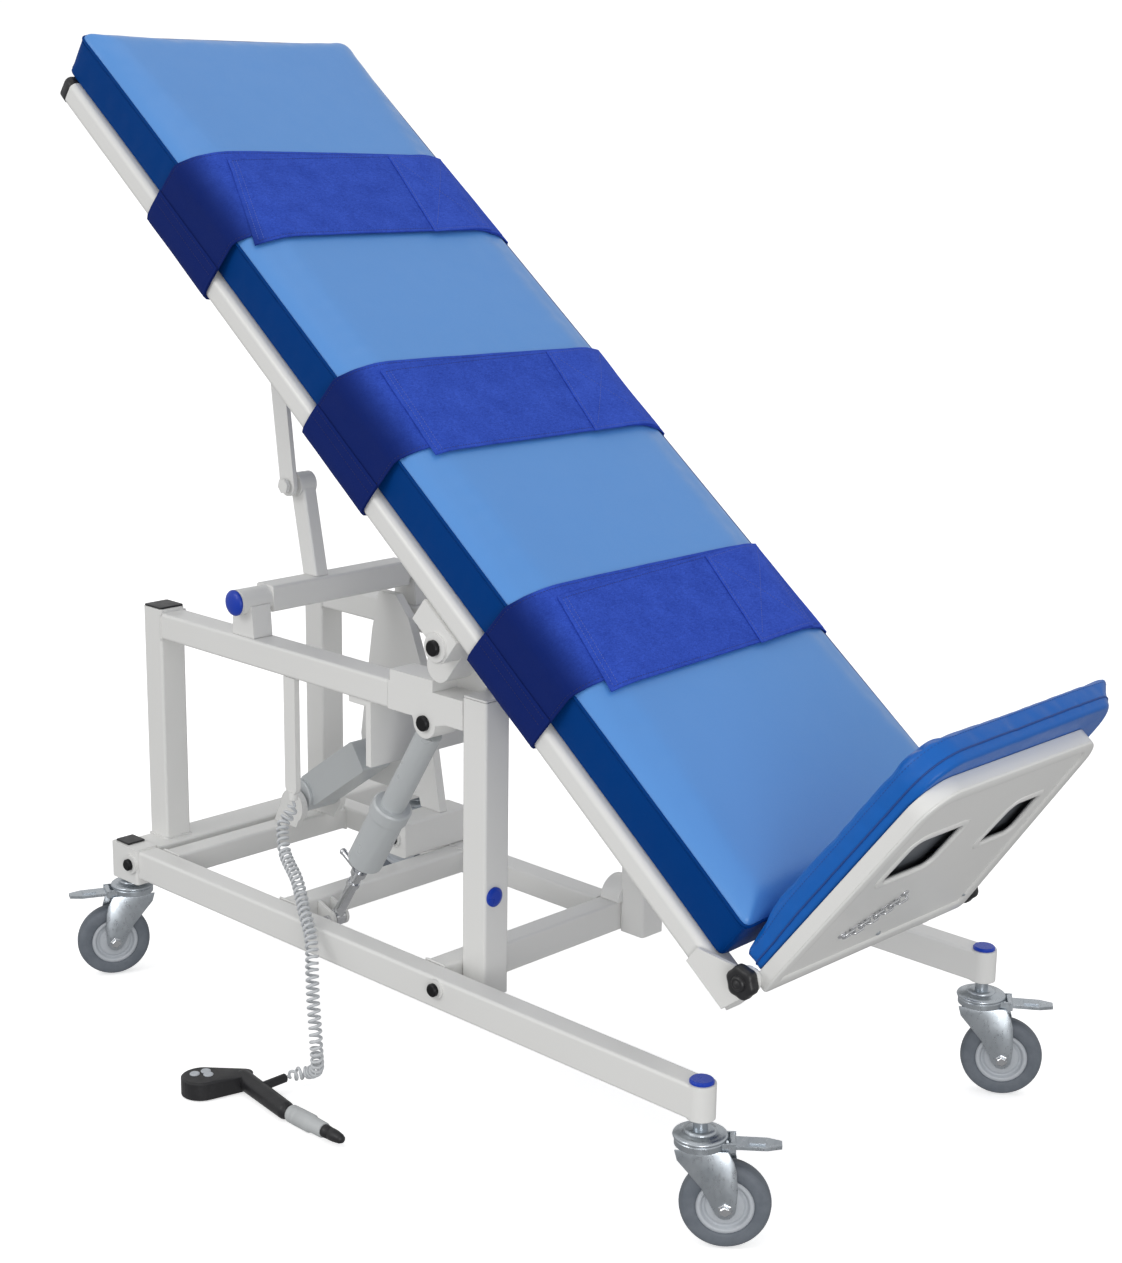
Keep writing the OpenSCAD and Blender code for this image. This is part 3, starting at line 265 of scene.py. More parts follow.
class Nodes(Tree):
    """The nodes of one new material"""

    def __init__(self, name):
        self.material = bpy.data.materials.new(name)
        self.material.use_nodes = True
        super().__init__(self.material.node_tree)
        out = self.add("ShaderNodeOutputMaterial")
        self.shader = self.add("ShaderNodeBsdfPrincipled")
        self.link(self.shader.outputs[0], out.inputs[0])
        self.place = self.add("ShaderNodeTexCoord").outputs["Object"]

    def noise(self, scale, detail=4, rough=0.5, place=None, distortion=0):
        node = self.add("ShaderNodeTexNoise", {
            "Scale": scale, "Detail": detail, "Roughness": rough, "Distortion": distortion,
            "Vector": place or self.place})
        return node.outputs["Fac"]

    def cells(self, scale):
        node = self.add("ShaderNodeTexVoronoi")
        node.feature = "DISTANCE_TO_EDGE"
        self.give(node, {"Scale": scale, "Vector": self.place})
        return node.outputs["Distance"]

    def stretched(self, x, y, z):
        return self.add("ShaderNodeMapping", {"Scale": (x, y, z), "Vector": self.place}).outputs["Vector"]

    def span(self, value, low, high, to_low, to_high):
        node = self.add("ShaderNodeMapRange", {
            "From Min": low, "From Max": high, "To Min": to_low, "To Max": to_high, "Value": value})
        return node.outputs["Result"]

    def math(self, kind, a, b):
        node = self.add("ShaderNodeMath")
        node.operation = kind
        self.give(node, {0: a, 1: b})
        return node.outputs[0]

    def bump(self, height, distance, strength=1, normal=None):
        node = self.add("ShaderNodeBump", {
            "Distance": distance, "Strength": strength, "Height": height, "Normal": normal})
        return node.outputs["Normal"]

    def round_edges(self, radius):
        node = self.add("ShaderNodeBevel", {"Radius": radius})
        node.samples = 4
        return node.outputs["Normal"]

    def edge_mask(self, bevel):
        """1 on a sharp edge, 0 on a flat face"""
        geometry = self.add("ShaderNodeNewGeometry")
        node = self.add("ShaderNodeVectorMath")
        node.operation = "DOT_PRODUCT"
        self.give(node, {0: bevel, 1: geometry.outputs["Normal"]})
        return self.span(node.outputs["Value"], 0.97, 0.80, 0, 1)

    def finish(self, colour, rough, normal=None, metal=0.0):
        self.give(self.shader, {"Base Color": colour, "Roughness": rough, "Normal": normal,
                                "Metallic": metal})
        return self.material


def painted(name, light, dark, rough=(0.28, 0.36), peel=0.000012, coat=0.2, metal=0.0):
    """Powder-coated steel: fine orange peel, faint stains, worn edges"""
    n = Nodes(name)
    bevel = n.round_edges(0.0014)
    edge = n.edge_mask(bevel)
    stain = n.span(n.noise(2.4, 2, 0.4), 0.35, 0.75, 0, 0.16)
    worn = n.math("MULTIPLY", edge, n.span(n.noise(40, 3, 0.5), 0.35, 0.75, 0, 0.10))
    share = n.math("MAXIMUM", stain, worn)
    colour = n.mix(share, light, dark)
    gloss = n.span(n.noise(12, 3, 0.5), 0.3, 0.7, rough[0], rough[1])
    normal = n.bump(n.noise(300, 1, 0.4), peel, 1, bevel)
    n.give(n.shader, {"Coat Weight": coat, "Coat Roughness": 0.12})
    return n.finish(colour, gloss, normal, metal)


def metal_skin(name, light, dark, rough=(0.18, 0.42), grain=(1, 1, 1), lines=60, depth=0.00002):
    """Plated or drawn steel with fine draw lines and dull spots"""
    n = Nodes(name)
    bevel = n.round_edges(0.0008)
    edge = n.edge_mask(bevel)
    streak = n.noise(lines, 6, 0.7, n.stretched(*grain))
    dull = n.span(n.noise(28, 6, 0.65), 0.35, 0.75, 0, 1)
    colour = n.mix(n.math("MULTIPLY", dull, 0.7), light, dark)
    bright = n.math("SUBTRACT", n.span(streak, 0.3, 0.7, rough[0], rough[1]), n.math("MULTIPLY", edge, 0.06))
    normal = n.bump(streak, depth, 1, bevel)
    return n.finish(colour, bright, normal, 1.0)


def plastic(name, light, dark, rough=(0.38, 0.55), grain=900, depth=0.00008):
    """Moulded plastic with spark-eroded grain and scuffed edges"""
    n = Nodes(name)
    bevel = n.round_edges(0.0009)
    edge = n.edge_mask(bevel)
    scuff = n.span(n.noise(55, 6, 0.7), 0.52, 0.75, 0, 0.35)
    share = n.math("MAXIMUM", scuff, n.math("MULTIPLY", edge, 0.35))
    colour = n.mix(share, light, dark)
    gloss = n.span(n.noise(40, 4, 0.6), 0.3, 0.7, rough[0], rough[1])
    normal = n.bump(n.noise(grain, 3, 0.6), depth, 1, bevel)
    return n.finish(colour, gloss, normal)


def vinyl(name, light, dark, rough=(0.30, 0.42), shine=0.5):
    """Coated upholstery cloth: small leather grain, soft creases, satin sheen"""
    n = Nodes(name)
    grain = n.span(n.cells(620), 0.0, 0.16, 0, 1)
    crease = n.noise(14, 5, 0.6, None, 0.6)
    tone = n.span(n.noise(3.2, 5, 0.55), 0.35, 0.70, 0, 1)
    hollow = n.span(grain, 0, 1, 0.35, 0)
    colour = n.mix(n.math("MAXIMUM", n.math("MULTIPLY", tone, 0.42), hollow), light, dark)
    gloss = n.span(n.noise(24, 4, 0.6), 0.3, 0.7, rough[0], rough[1])
    normal = n.bump(crease, 0.0011, 0.55)
    normal = n.bump(grain, 0.00006, 0.8, normal)
    n.give(n.shader, {"Specular IOR Level": shine, "Coat Weight": shine * 0.16, "Coat Roughness": 0.25})
    return n.finish(colour, gloss, normal)


def felt(name, light, dark, side_shade, pile=0.0005):
    """Brushed loop fabric: short tangled pile over a knit, with painted shade darkening it where it turns
    down the pad's near side
    """
    n = Nodes(name)
    turn = n.add("ShaderNodeAttribute")
    turn.attribute_name = "side_shade"
    fluff = n.noise(900, 4, 0.7)
    tangle = n.noise(340, 5, 0.7, n.stretched(1, 0.55, 1), 1.2)
    patch = n.noise(26, 4, 0.6)
    tone = n.math("ADD", n.math("MULTIPLY", n.span(tangle, 0.36, 0.64, 0, 1), 0.65),
                  n.math("MULTIPLY", n.span(patch, 0.3, 0.7, 0, 1), 0.35))
    # painted shade: a stored per-point share mixes in a darker colour where the strap turns down the pad's
    # near side
    colour = n.mix(turn.outputs["Fac"], n.mix(tone, light, dark), side_shade)
    normal = n.bump(tangle, pile * 1.6, 1)
    normal = n.bump(fluff, 0.00025, 0.9, normal)
    n.give(n.shader, {"Specular IOR Level": 0.15, "Sheen Weight": 0.05, "Sheen Roughness": 0.45,
                      "Sheen Tint": (0.45, 0.55, 1.0, 1)})
    return n.finish(colour, n.span(patch, 0.3, 0.7, 0.88, 1.0), normal)


def thread(name, light, dark):
    """Twisted sewing thread"""
    n = Nodes(name)
    twist = n.noise(1800, 2, 0.5, n.stretched(1, 1, 3))
    colour = n.mix(n.span(twist, 0.35, 0.65, 0, 1), light, dark)
    return n.finish(colour, 0.6, n.bump(twist, 0.0002))


def rubber(name, light, dark):
    """Grey tyre rubber: dusty tread, fine moulding grain"""
    n = Nodes(name)
    dust = n.span(n.noise(45, 6, 0.7), 0.38, 0.72, 0, 1)
    grain = n.noise(700, 3, 0.6)
    colour = n.mix(dust, light, dark)
    return n.finish(colour, n.span(dust, 0, 1, 0.5, 0.72), n.bump(grain, 0.00012, 1, n.round_edges(0.001)))


WHITE = painted("white_paint", (0.80, 0.80, 0.785, 1), (0.66, 0.655, 0.63, 1))
WELD = painted("weld_bead", (0.76, 0.76, 0.745, 1), (0.66, 0.655, 0.63, 1), (0.3, 0.45), 0.0001)
GREY = painted("grey_paint", linear(196, 200, 202), linear(176, 180, 183), (0.26, 0.40), 0.000015, 0.2, 0.2)
CHROME = metal_skin("chrome_steel", (0.70, 0.71, 0.73, 1), (0.46, 0.47, 0.49, 1), (0.08, 0.20), (1, 1, 6), 80)
ZINC = metal_skin("zinc_steel", (0.56, 0.60, 0.64, 1), (0.38, 0.42, 0.46, 1), (0.22, 0.42), (3, 1, 1), 90,
                  0.00003)
BLACK_STEEL = metal_skin("black_steel", (0.028, 0.028, 0.03, 1), (0.05, 0.05, 0.052, 1), (0.30, 0.48))
BLACK = plastic("black_plastic", (0.014, 0.014, 0.016, 1), (0.045, 0.045, 0.05, 1), (0.34, 0.5))
CORD_GREY = plastic("grey_plastic", linear(205, 208, 211), linear(178, 182, 186), (0.34, 0.48), 700, 0.00005)
HUB_GREY = plastic("hub_plastic", linear(188, 193, 199), linear(170, 175, 181), (0.30, 0.45))
SLEEVE_GREY = plastic("sleeve_plastic", linear(186, 189, 190), linear(168, 171, 172), (0.4, 0.55))
BLUE_CAP = plastic("blue_plastic", (0.001, 0.040, 0.44, 1), (0.002, 0.055, 0.50, 1), (0.24, 0.36))
TYRE = rubber("grey_rubber", linear(98, 105, 114), linear(114, 120, 128))
PAD_TOP = vinyl("blue_vinyl_top", (0.098, 0.308, 0.730, 1), (0.078, 0.268, 0.665, 1))
PAD_SIDE = vinyl("blue_vinyl_side", (0.0006, 0.046, 0.225, 1), (0.0005, 0.035, 0.180, 1), (0.44, 0.56), 0.04)
BOARD_VINYL = vinyl("blue_vinyl_board", (0.004, 0.125, 0.500, 1), (0.002, 0.095, 0.430, 1), (0.28, 0.40), 0.3)
# the last colour of each strap material is painted shade for where the strap turns down the pad's near side
STRAP = felt("navy_webbing", (0.044, 0.112, 0.640, 1), (0.020, 0.055, 0.380, 1), (0.004, 0.017, 0.140, 1))
STRAP_PATCH = felt("navy_patch", (0.048, 0.118, 0.660, 1), (0.023, 0.060, 0.410, 1), (0.004, 0.017, 0.140, 1),
                   0.0003)
THREAD_DARK = thread("navy_thread", (0.012, 0.020, 0.120, 1), (0.008, 0.012, 0.080, 1))
THREAD_PALE = thread("pale_thread", (0.11, 0.16, 0.50, 1), (0.07, 0.12, 0.42, 1))
THREAD_BLUE = thread("blue_thread", (0.010, 0.075, 0.33, 1), (0.006, 0.05, 0.24, 1))
BACKING = plastic("backing_board", linear(96, 100, 106), linear(74, 78, 84), (0.55, 0.7), 300, 0.0002)

SLOTS = {
    "white_paint": WHITE, "grey_paint": GREY, "chrome_steel": CHROME, "zinc_steel": ZINC,
    "black_steel": BLACK_STEEL, "black_plastic": BLACK, "grey_plastic": CORD_GREY,
    "blue_plastic": BLUE_CAP, "blue_vinyl": PAD_SIDE, "navy_webbing": STRAP, "grey_rubber": TYRE,
}
for part in frame["record"]["subparts"]:
    name = part.get("node") or part.get("name")
    if name in frame["nodes"]:
        mesh = frame["nodes"][name].data
        mesh.materials.clear()
        mesh.materials.append(SLOTS[part["material_slot"]])


# Curly cord: the same route as in the part's source, with more points on each turn
CORD_R = 2.4
CURL_R = 8.4
CURLS = 54
CORD_ROUTE = [Vector(p) for p in (
    (400, 83, 388), (400, 83, 378), (396, 76, 362), (396, 64, 346), (425, 45, 311), (485, 20, 289),
    (533, -5, 259), (574, -25, 228), (600, -45, 187), (615, -56, 148), (629, -64, 108), (634, -66, 70),
    (624, -58, 38), (602, -56, 24), (590, -68, 22), (588, -82, 22), (588, -92, 22))]
CORD_MARKS = [0]
for before, after in zip(CORD_ROUTE, CORD_ROUTE[1:]):
    CORD_MARKS.append(CORD_MARKS[-1] + (after - before).length)
CORD_LEN = CORD_MARKS[-1]


def route_point(s):
    i = 0
    while i < len(CORD_ROUTE) - 2 and s > CORD_MARKS[i + 1]:
        i += 1
    t = (s - CORD_MARKS[i]) / (CORD_MARKS[i + 1] - CORD_MARKS[i])
    a, b, c, d = (CORD_ROUTE[max(0, min(len(CORD_ROUTE) - 1, i + k))] for k in (-1, 0, 1, 2))
    return (b * 2 + (c - a) * t + (a * 2 - b * 5 + c * 4 - d) * t * t
            + (b * 3 - a - c * 3 + d) * t * t * t) / 2


def ease(t):
    t = max(0, min(1, t))
    return t * t * (3 - 2 * t)


def curl_point(s):
    step = CORD_LEN / (CURLS * 32)
    ahead = (route_point(min(CORD_LEN, s + step)) - route_point(max(0, s - step))).normalized()
    a = ahead.cross(Vector((0, 1, 0))).normalized()
    b = ahead.cross(a)
    turn = 2 * math.pi * CURLS * s / CORD_LEN
    run = CURL_R + CORD_R * 2
    size = CURL_R * ease((s - CORD_R * 2) / run) * ease((CORD_LEN - s - CORD_R * 2) / run)
    return route_point(s) + (a * math.cos(turn) + b * math.sin(turn)) * size


def make_cord():
    count = CURLS * 22
    points = [at(*curl_point(CORD_LEN * k / count)) for k in range(count + 1)]
    data = bpy.data.curves.new("curly_cord_line", "CURVE")
    data.dimensions = "3D"
    spline = data.splines.new("POLY")
    spline.points.add(len(points) - 1)
    for point, place in zip(spline.points, points):
        point.co = (*place, 1)
    data.bevel_depth = CORD_R * MM
    data.bevel_resolution = 3
    data.use_fill_caps = True
    data.materials.append(CORD_GREY)
    cord = bpy.data.objects.new("curly_cord_line", data)
    bpy.context.scene.collection.objects.link(cord)
    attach(cord, "frame")
    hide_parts("curly_cord")


make_cord()


# Pads
def spread(size, edge, cell, arc=6):
    start = [edge * (1 - math.cos(math.pi / 2 * k / arc)) for k in range(arc + 1)]
    inner = max(2, round((size - 2 * edge) / cell))
    middle = [edge + (size - 2 * edge) * k / inner for k in range(1, inner)]
    return start + middle + [size - v for v in reversed(start)]


def pad_shape(length, width, low, high, corners, edge, drop, low_edge, cell, draw, crown):
    """Crowned pad, centred in a and b: points, faces, count of top faces, seam ring, bottom points"""
    rows_top, cols_top = spread(length, edge, cell), spread(width, edge, cell)
    rows_low, cols_low = spread(length, low_edge, cell), spread(width, low_edge, cell)
    rows_low = list(np.interp(np.linspace(0, 1, len(rows_top)), np.linspace(0, 1, len(rows_low)), rows_low))
    cols_low = list(np.interp(np.linspace(0, 1, len(cols_top)), np.linspace(0, 1, len(cols_low)), cols_low))
    last_i, last_j = len(rows_top) - 1, len(cols_top) - 1

    def plan(a, b):
        a, b = a - length / 2, b - width / 2
        r = corners[(1 if a > 0 else 0) + (2 if b > 0 else 0)]
        over_a, over_b = abs(a) - (length / 2 - r), abs(b) - (width / 2 - r)
        if over_a > 0 and over_b > 0:
            shrink = max(over_a, over_b) / math.hypot(over_a, over_b)
            a = math.copysign(length / 2 - r + over_a * shrink, a)
            b = math.copysign(width / 2 - r + over_b * shrink, b)
        share_a, share_b = 2 * a / length, 2 * b / width
        return (a - draw * share_a * max(0, 1 - share_b ** 4) * abs(share_a),
                b - draw * share_b * max(0, 1 - share_a ** 8) * abs(share_b))

    points = []
    faces = []

    def layer(rows, cols, turned, height):
        """Grid of points; height gets the distance to the rim and the rounded edge's share"""
        places = {}
        for i, a in enumerate(rows):
            for j, b in enumerate(cols):
                inside = min(a, length - a, b, width - b)
                near = min(inside, turned) / turned
                places[i, j] = len(points)
                points.append((*plan(a, b), height(inside, math.sqrt(max(0, 1 - (1 - near) ** 2)))))
        return places

    def crowned(inside, share):
        reach = min(1, inside / (width * 0.42))
        return high - drop + drop * share + crown * reach * (2 - reach)

    top = layer(rows_top, cols_top, edge, crowned)
    bottom = layer(rows_low, cols_low, low_edge, lambda inside, share: low + low_edge - low_edge * share)
    for i in range(last_i):
        for j in range(last_j):
            faces.append((top[i, j], top[i + 1, j], top[i + 1, j + 1], top[i, j + 1]))
    top_count = len(faces)
    for i in range(last_i):
        for j in range(last_j):
            faces.append((bottom[i, j], bottom[i, j + 1], bottom[i + 1, j + 1], bottom[i + 1, j]))
    loop = ([(i, 0) for i in range(last_i)] + [(last_i, j) for j in range(last_j)]
            + [(i, last_j) for i in range(last_i, 0, -1)] + [(0, j) for j in range(last_j, 0, -1)])
    rings = [[top[key] for key in loop]]
    steps = max(3, round((high - drop - low - low_edge) / cell))
    for k in range(1, steps):
        share = k / steps
        ring = []
        for key in loop:
            p, q = points[top[key]], points[bottom[key]]
            ring.append(len(points))
            points.append(tuple(v + (w - v) * share for v, w in zip(p, q)))
        rings.append(ring)
    rings.append([bottom[key] for key in loop])
    for upper, lower in zip(rings, rings[1:]):
        for k in range(len(loop)):
            m = (k + 1) % len(loop)
            faces.append((upper[k], lower[k], lower[m], upper[m]))
    return points, faces, top_count, rings[0], list(bottom.values())


def swell(piece, held, most, pressure, slack):
    """Fills a cover by cloth simulation; no point moves further than most"""
    mesh = piece.data
    start = np.empty(len(mesh.vertices) * 3)
    mesh.vertices.foreach_get("co", start)
    start = start.reshape(-1, 3)
    group = piece.vertex_groups.new(name="held")
    group.add(held, 1.0, "REPLACE")
    cloth = piece.modifiers.new("cover", "CLOTH")
    settings = cloth.settings
    settings.quality = 5
    settings.mass = 0.25
    settings.tension_stiffness = 14
    settings.compression_stiffness = 14
    settings.shear_stiffness = 6
    settings.bending_stiffness = 0.6
    settings.use_pressure = True
    settings.uniform_pressure_force = pressure
    settings.shrink_min = slack
    settings.shrink_max = slack
    settings.vertex_group_mass = "held"
    settings.effector_weights.gravity = 0
    cloth.point_cache.frame_start = 1
    cloth.point_cache.frame_end = 20
    scene = bpy.context.scene
    for step in range(1, 21):
        scene.frame_set(step)
    graph = bpy.context.evaluated_depsgraph_get()
    done = piece.evaluated_get(graph).to_mesh()
    end = np.empty(len(done.vertices) * 3)
    done.vertices.foreach_get("co", end)
    end = end.reshape(-1, 3)
    piece.evaluated_get(graph).to_mesh_clear()
    piece.modifiers.remove(cloth)
    piece.vertex_groups.clear()
    scene.frame_set(1)
    move = end - start
    far = np.linalg.norm(move, axis=1)
    print(piece.name, "cover moved at most", round(float(far.max()) * 1000, 1), "mm")
    scale = np.where(far > 1e-9, most * np.tanh(far / most) / np.maximum(far, 1e-9), 0)
    mesh.vertices.foreach_set("co", (start + move * scale[:, None]).ravel())
    mesh.update()


def finer(piece):
    """One level of subdivision"""
    smooth = piece.modifiers.new("finer", "SUBSURF")
    smooth.levels = 1
    smooth.render_levels = 1
    apply_modifiers(piece)
    for polygon in piece.data.polygons:
        polygon.use_smooth = True


def stitches(places, normals, length=0.0034, pitch=0.0052, radius=0.00042, lift=0.0001):
    """Short threads laid along a line on a surface"""
    parts = []
    marks = [0.0]
    for a, b in zip(places, places[1:]):
        marks.append(marks[-1] + (b - a).length)
    if marks[-1] < pitch:
        return [], []

    def along(s):
        k = int(np.searchsorted(marks, s)) - 1
        k = max(0, min(len(places) - 2, k))
        t = (s - marks[k]) / max(1e-9, marks[k + 1] - marks[k])
        return places[k].lerp(places[k + 1], t), normals[k].lerp(normals[k + 1], t).normalized()

    s = pitch * 0.3
    while s + length < marks[-1]:
        line = []
        sizes = []
        for t, size, rise in ((0, 0.35, -0.6), (0.25, 1, 0.3), (0.75, 1, 0.3), (1, 0.35, -0.6)):
            place, normal = along(s + length * t)
            line.append(place + normal * (lift + radius * rise))
            sizes.append(radius * size)
        parts.append(tube(line, sizes, 5))
        s += pitch
    return joined(parts)


def seam_tube(points, radius, closed=True):
    return tube(points, radius, 8, closed)


# Bed pad: light top panel, dark sides, piped seam below the rounded edge
PAD_LEN = 1837
PAD_U = -20
PAD_NEAR_Y = 52
PAD_FAR_Y = 610
PAD_W = PAD_FAR_Y - PAD_NEAR_Y
PAD_MID_Y = (PAD_NEAR_Y + PAD_FAR_Y) / 2
PAD_MID_U = PAD_U + PAD_LEN / 2
PAD_LOW = 40.6
PAD_HIGH = 131
SEAM_DROP = 22
TOP_EDGE = 42


def bed_pad_place(a, b, n):
    return on_bed(PAD_MID_U + a, PAD_MID_Y + b, n)


def pad_from(name, shape, place, materials, most, pressure, slack, body, node):
    points, faces, top_count, seam, bottom = shape
    piece = make_piece(name, [place(*p) for p in points], faces, materials[0])
    piece.data.materials.append(materials[1])
    for k, polygon in enumerate(piece.data.polygons):
        polygon.material_index = 0 if k < top_count else 1
    swell(piece, sorted(set(seam) | set(bottom)), most, pressure, slack)
    ring = [piece.data.vertices[k].co.copy() for k in seam]
    finer(piece)
    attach(piece, body)
    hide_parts(node)
    return piece, ring


pad_points = pad_shape(PAD_LEN, PAD_W, PAD_LOW, PAD_HIGH, (14, 12, 34, 20), TOP_EDGE, SEAM_DROP, 7, 11, 3, 2)
bed_pad, pad_ring = pad_from("bed_pad_cover", pad_points, bed_pad_place, (PAD_TOP, PAD_SIDE),
                             0.005, 3.0, -0.004, "bed", "bed_pad")
BED_N = Vector((math.sin(TILT), 0, math.cos(TILT)))
BED_U = Vector((math.cos(TILT), 0, -math.sin(TILT)))
UP_Y = Vector((0, 1, 0))


def outward(ring):
    """Flat outward directions of a closed ring round the bed normal"""
    middle = sum(ring, Vector()) / len(ring)
    result = []
    for k, p in enumerate(ring):
        ahead = ring[(k + 1) % len(ring)] - ring[k - 1]
        side = ahead.cross(BED_N).normalized()
        if side.dot(p - middle) < 0:
            side = -side
        result.append(side)
    return result


pad_out = outward(pad_ring)
piping = make_piece("bed_pad_piping", *joined([
    seam_tube([p + q * 0.0006 for p, q in zip(pad_ring, pad_out)], 0.0021),
    seam_tube([p + q * 0.0001 - BED_N * 0.0052 for p, q in zip(pad_ring, pad_out)], 0.0011)]), PAD_SIDE)
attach(piping, "bed")
PAD_TREE = BVHTree.FromObject(bed_pad, bpy.context.evaluated_depsgraph_get())
corner_lines = []
for corner_u in (-1, 1):
    for corner_y in (-1, 1):
        inward = (-BED_U * corner_u - UP_Y * corner_y).normalized()
        line = []
        for k in range(24):
            start = bed_pad_place(corner_u * (PAD_LEN / 2 + 20), corner_y * (PAD_W / 2 + 20),
                                  PAD_HIGH - SEAM_DROP - 4 - k * 2.4)
            hit = PAD_TREE.ray_cast(start, inward)
            if hit[0] is not None:
                line.append(hit[0] + inward * 0.0003)
        corner_lines.append(seam_tube(line, 0.0011, False))
corner_seams = make_piece("bed_pad_corner_seams", *joined(corner_lines), PAD_SIDE)
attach(corner_seams, "bed")


# Foot board pad: arched top edge, seam near the tray, stitched line near the patient's side
FOOT_LOW = 6
FOOT_HIGH = 418
FOOT_W = 449
FOOT_T = 47.6
FOOT_MID_N = (FOOT_LOW + FOOT_HIGH) / 2


def narrow(y, n, most=84):
    """The board's far side leans in towards its top"""
    return y - most * ease((y - 290) / 225) * max(0, min(1.1, n / 406))


def foot_pad_place(a, b, n):
    rise = max(0, a / (FOOT_HIGH - FOOT_MID_N))
    arch = rise * (10 * (1 - (2 * b / FOOT_W) ** 2) + 14 + 10 * ease((b + 60) / 260))
    y = narrow(MID_Y + b, FOOT_MID_N + a, 52 * (1 - n / FOOT_T))
    thinner = 1 - 0.30 * (1 - ease((FOOT_MID_N + a - FOOT_LOW) / 110))
    return on_board(-n * thinner, y, FOOT_MID_N + a + arch)


foot_points = pad_shape(FOOT_HIGH - FOOT_LOW, FOOT_W, 0.6, FOOT_T, (14, 52, 14, 52), 12, 10, 6, 8, 2, 2.5)
foot_pad, _ = pad_from("footrest_pad_cover", foot_points, foot_pad_place, (BOARD_VINYL, BOARD_VINYL),
                       0.006, 3.4, -0.008, "foot_board", "footrest_pad")


def foot_outline(n, grow):
    """Closed line round the foot board pad at a height from the tray"""
    r_low, r_high = 14, 52
    length, width = FOOT_HIGH - FOOT_LOW, FOOT_W
    points = []
    for sign_a, sign_b, r, turns in ((-1, -1, r_low, (180, 270)), (-1, 1, r_low, (270, 360)),
                                     (1, 1, r_high, (0, 90)), (1, -1, r_high, (90, 180))):
        for k in range(9):
            turn = math.radians(turns[0] + (turns[1] - turns[0]) * k / 8)
            b = sign_b * (width / 2 - r) + r * math.cos(turn)
            a = sign_a * (length / 2 - r) + r * math.sin(turn)
            points.append((a, b))
    dense = []
    for k, (a, b) in enumerate(points):
        c, d = points[(k + 1) % len(points)]
        steps = max(1, round(math.hypot(c - a, d - b) / 8))
        dense.extend((a + (c - a) * m / steps, b + (d - b) * m / steps) for m in range(steps))
    tree = BVHTree.FromObject(foot_pad, bpy.context.evaluated_depsgraph_get())
    places = []
    normals = []
    for a, b in dense:
        away = foot_pad_place(a * 1.25, b * 1.25, n)
        inner = foot_pad_place(a * 0.8, b * 0.8, n)
        hit = tree.ray_cast(away, (inner - away).normalized())
        if hit[0] is not None:
            places.append(hit[0] + hit[1] * grow)
            normals.append(hit[1])
    return places, normals


seam_places, _ = foot_outline(15, 0.0002)
thread_places, thread_normals = foot_outline(36, 0)
foot_seam = make_piece("footrest_pad_seam", *seam_tube(seam_places, 0.0013), THREAD_BLUE)
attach(foot_seam, "foot_board")
foot_thread = make_piece("footrest_pad_stitches", *stitches(thread_places, thread_normals), THREAD_BLUE)
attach(foot_thread, "foot_board")


# Straps: base layer round the rail and over the pad, overlay with hems, stitched patch
def hull(points):
    """Convex hull, counter-clockwise"""
    points = sorted(set(points))

    def half(sequence):
        chain = []
        for p in sequence:
            while len(chain) > 1 and ((chain[-1][0] - chain[-2][0]) * (p[1] - chain[-2][1])
                                      - (chain[-1][1] - chain[-2][1]) * (p[0] - chain[-2][0])) <= 0:
                chain.pop()
            chain.append(p)
        return chain[:-1]

    return half(points) + half(reversed(points))


def to_section(p):
    """(Y, n) in millimetres of a point in the shared frame"""
    x = (p.x + CENTRE_X) / MM - BED_X
    z = p.z / MM - BED_Z
    return (p.y + CENTRE_Y) / MM, x * math.sin(TILT) + z * math.cos(TILT)


def even(line, count):
    marks = [0.0]
    for a, b in zip(line, line[1:]):
        marks.append(marks[-1] + math.hypot(b[0] - a[0], b[1] - a[1]))
    steps = np.linspace(0, marks[-1], count)
    return list(zip(np.interp(steps, marks, [p[0] for p in line]),
                    np.interp(steps, marks, [p[1] for p in line])))


def strap_line(u, rows):
    """Path of the base layer's middle in (Y, n): under the rail, up, over the pad and tucked under"""
    middle = on_bed(u, 331, 78)
    seam_n = PAD_HIGH - SEAM_DROP
    found = [(PAD_NEAR_Y - 2.2, seam_n), (PAD_FAR_Y + 2.2, seam_n)]
    for k in range(120):
        turn = math.radians(-40 + 260 * k / 119)
        ahead = UP_Y * math.cos(turn) + BED_N * math.sin(turn)
        hit = PAD_TREE.ray_cast(middle, ahead)
        if hit[0] is not None:
            found.append(to_section(hit[0]))
    corner = RAIL / 4
    for k in range(7):
        turn = math.radians(180 + 90 * k / 6)
        found.append((BED_Y + corner + corner * math.cos(turn), corner + corner * math.sin(turn)))
        turn = math.radians(90 + 90 * k / 6)
        found.append((BED_Y + corner + corner * math.cos(turn), RAIL - corner + corner * math.sin(turn)))
    ring = list(reversed(hull(found)))
    first = min(range(len(ring)), key=lambda k: ring[k][1])
    ring = ring[first:] + ring[:first]
    last = max(range(len(ring)), key=lambda k: (ring[k][0] > 560) * (100 - ring[k][1]))
    line = even(ring[:last + 1], rows * 3)
    lift = 2.0
    shifted = []
    for k, p in enumerate(line):
        a = line[max(0, k - 1)]
        b = line[min(len(line) - 1, k + 1)]
        size = math.hypot(b[0] - a[0], b[1] - a[1]) or 1
        shifted.append((p[0] - (b[1] - a[1]) / size * lift, p[1] + (b[0] - a[0]) / size * lift))
    shifted = [(BED_Y + RAIL - 2, -lift)] + shifted + [(shifted[-1][0] - 6, PAD_LOW - lift - 0.6),
                                                     (BED_FAR_Y + 22, PAD_LOW - lift - 0.6)]
    for _ in range(3):
        shifted = ([shifted[0]] + [((a[0] + 2 * b[0] + c[0]) / 4, (a[1] + 2 * b[1] + c[1]) / 4)
                                   for a, b, c in zip(shifted, shifted[1:], shifted[2:])] + [shifted[-1]])
    return even(shifted, rows)


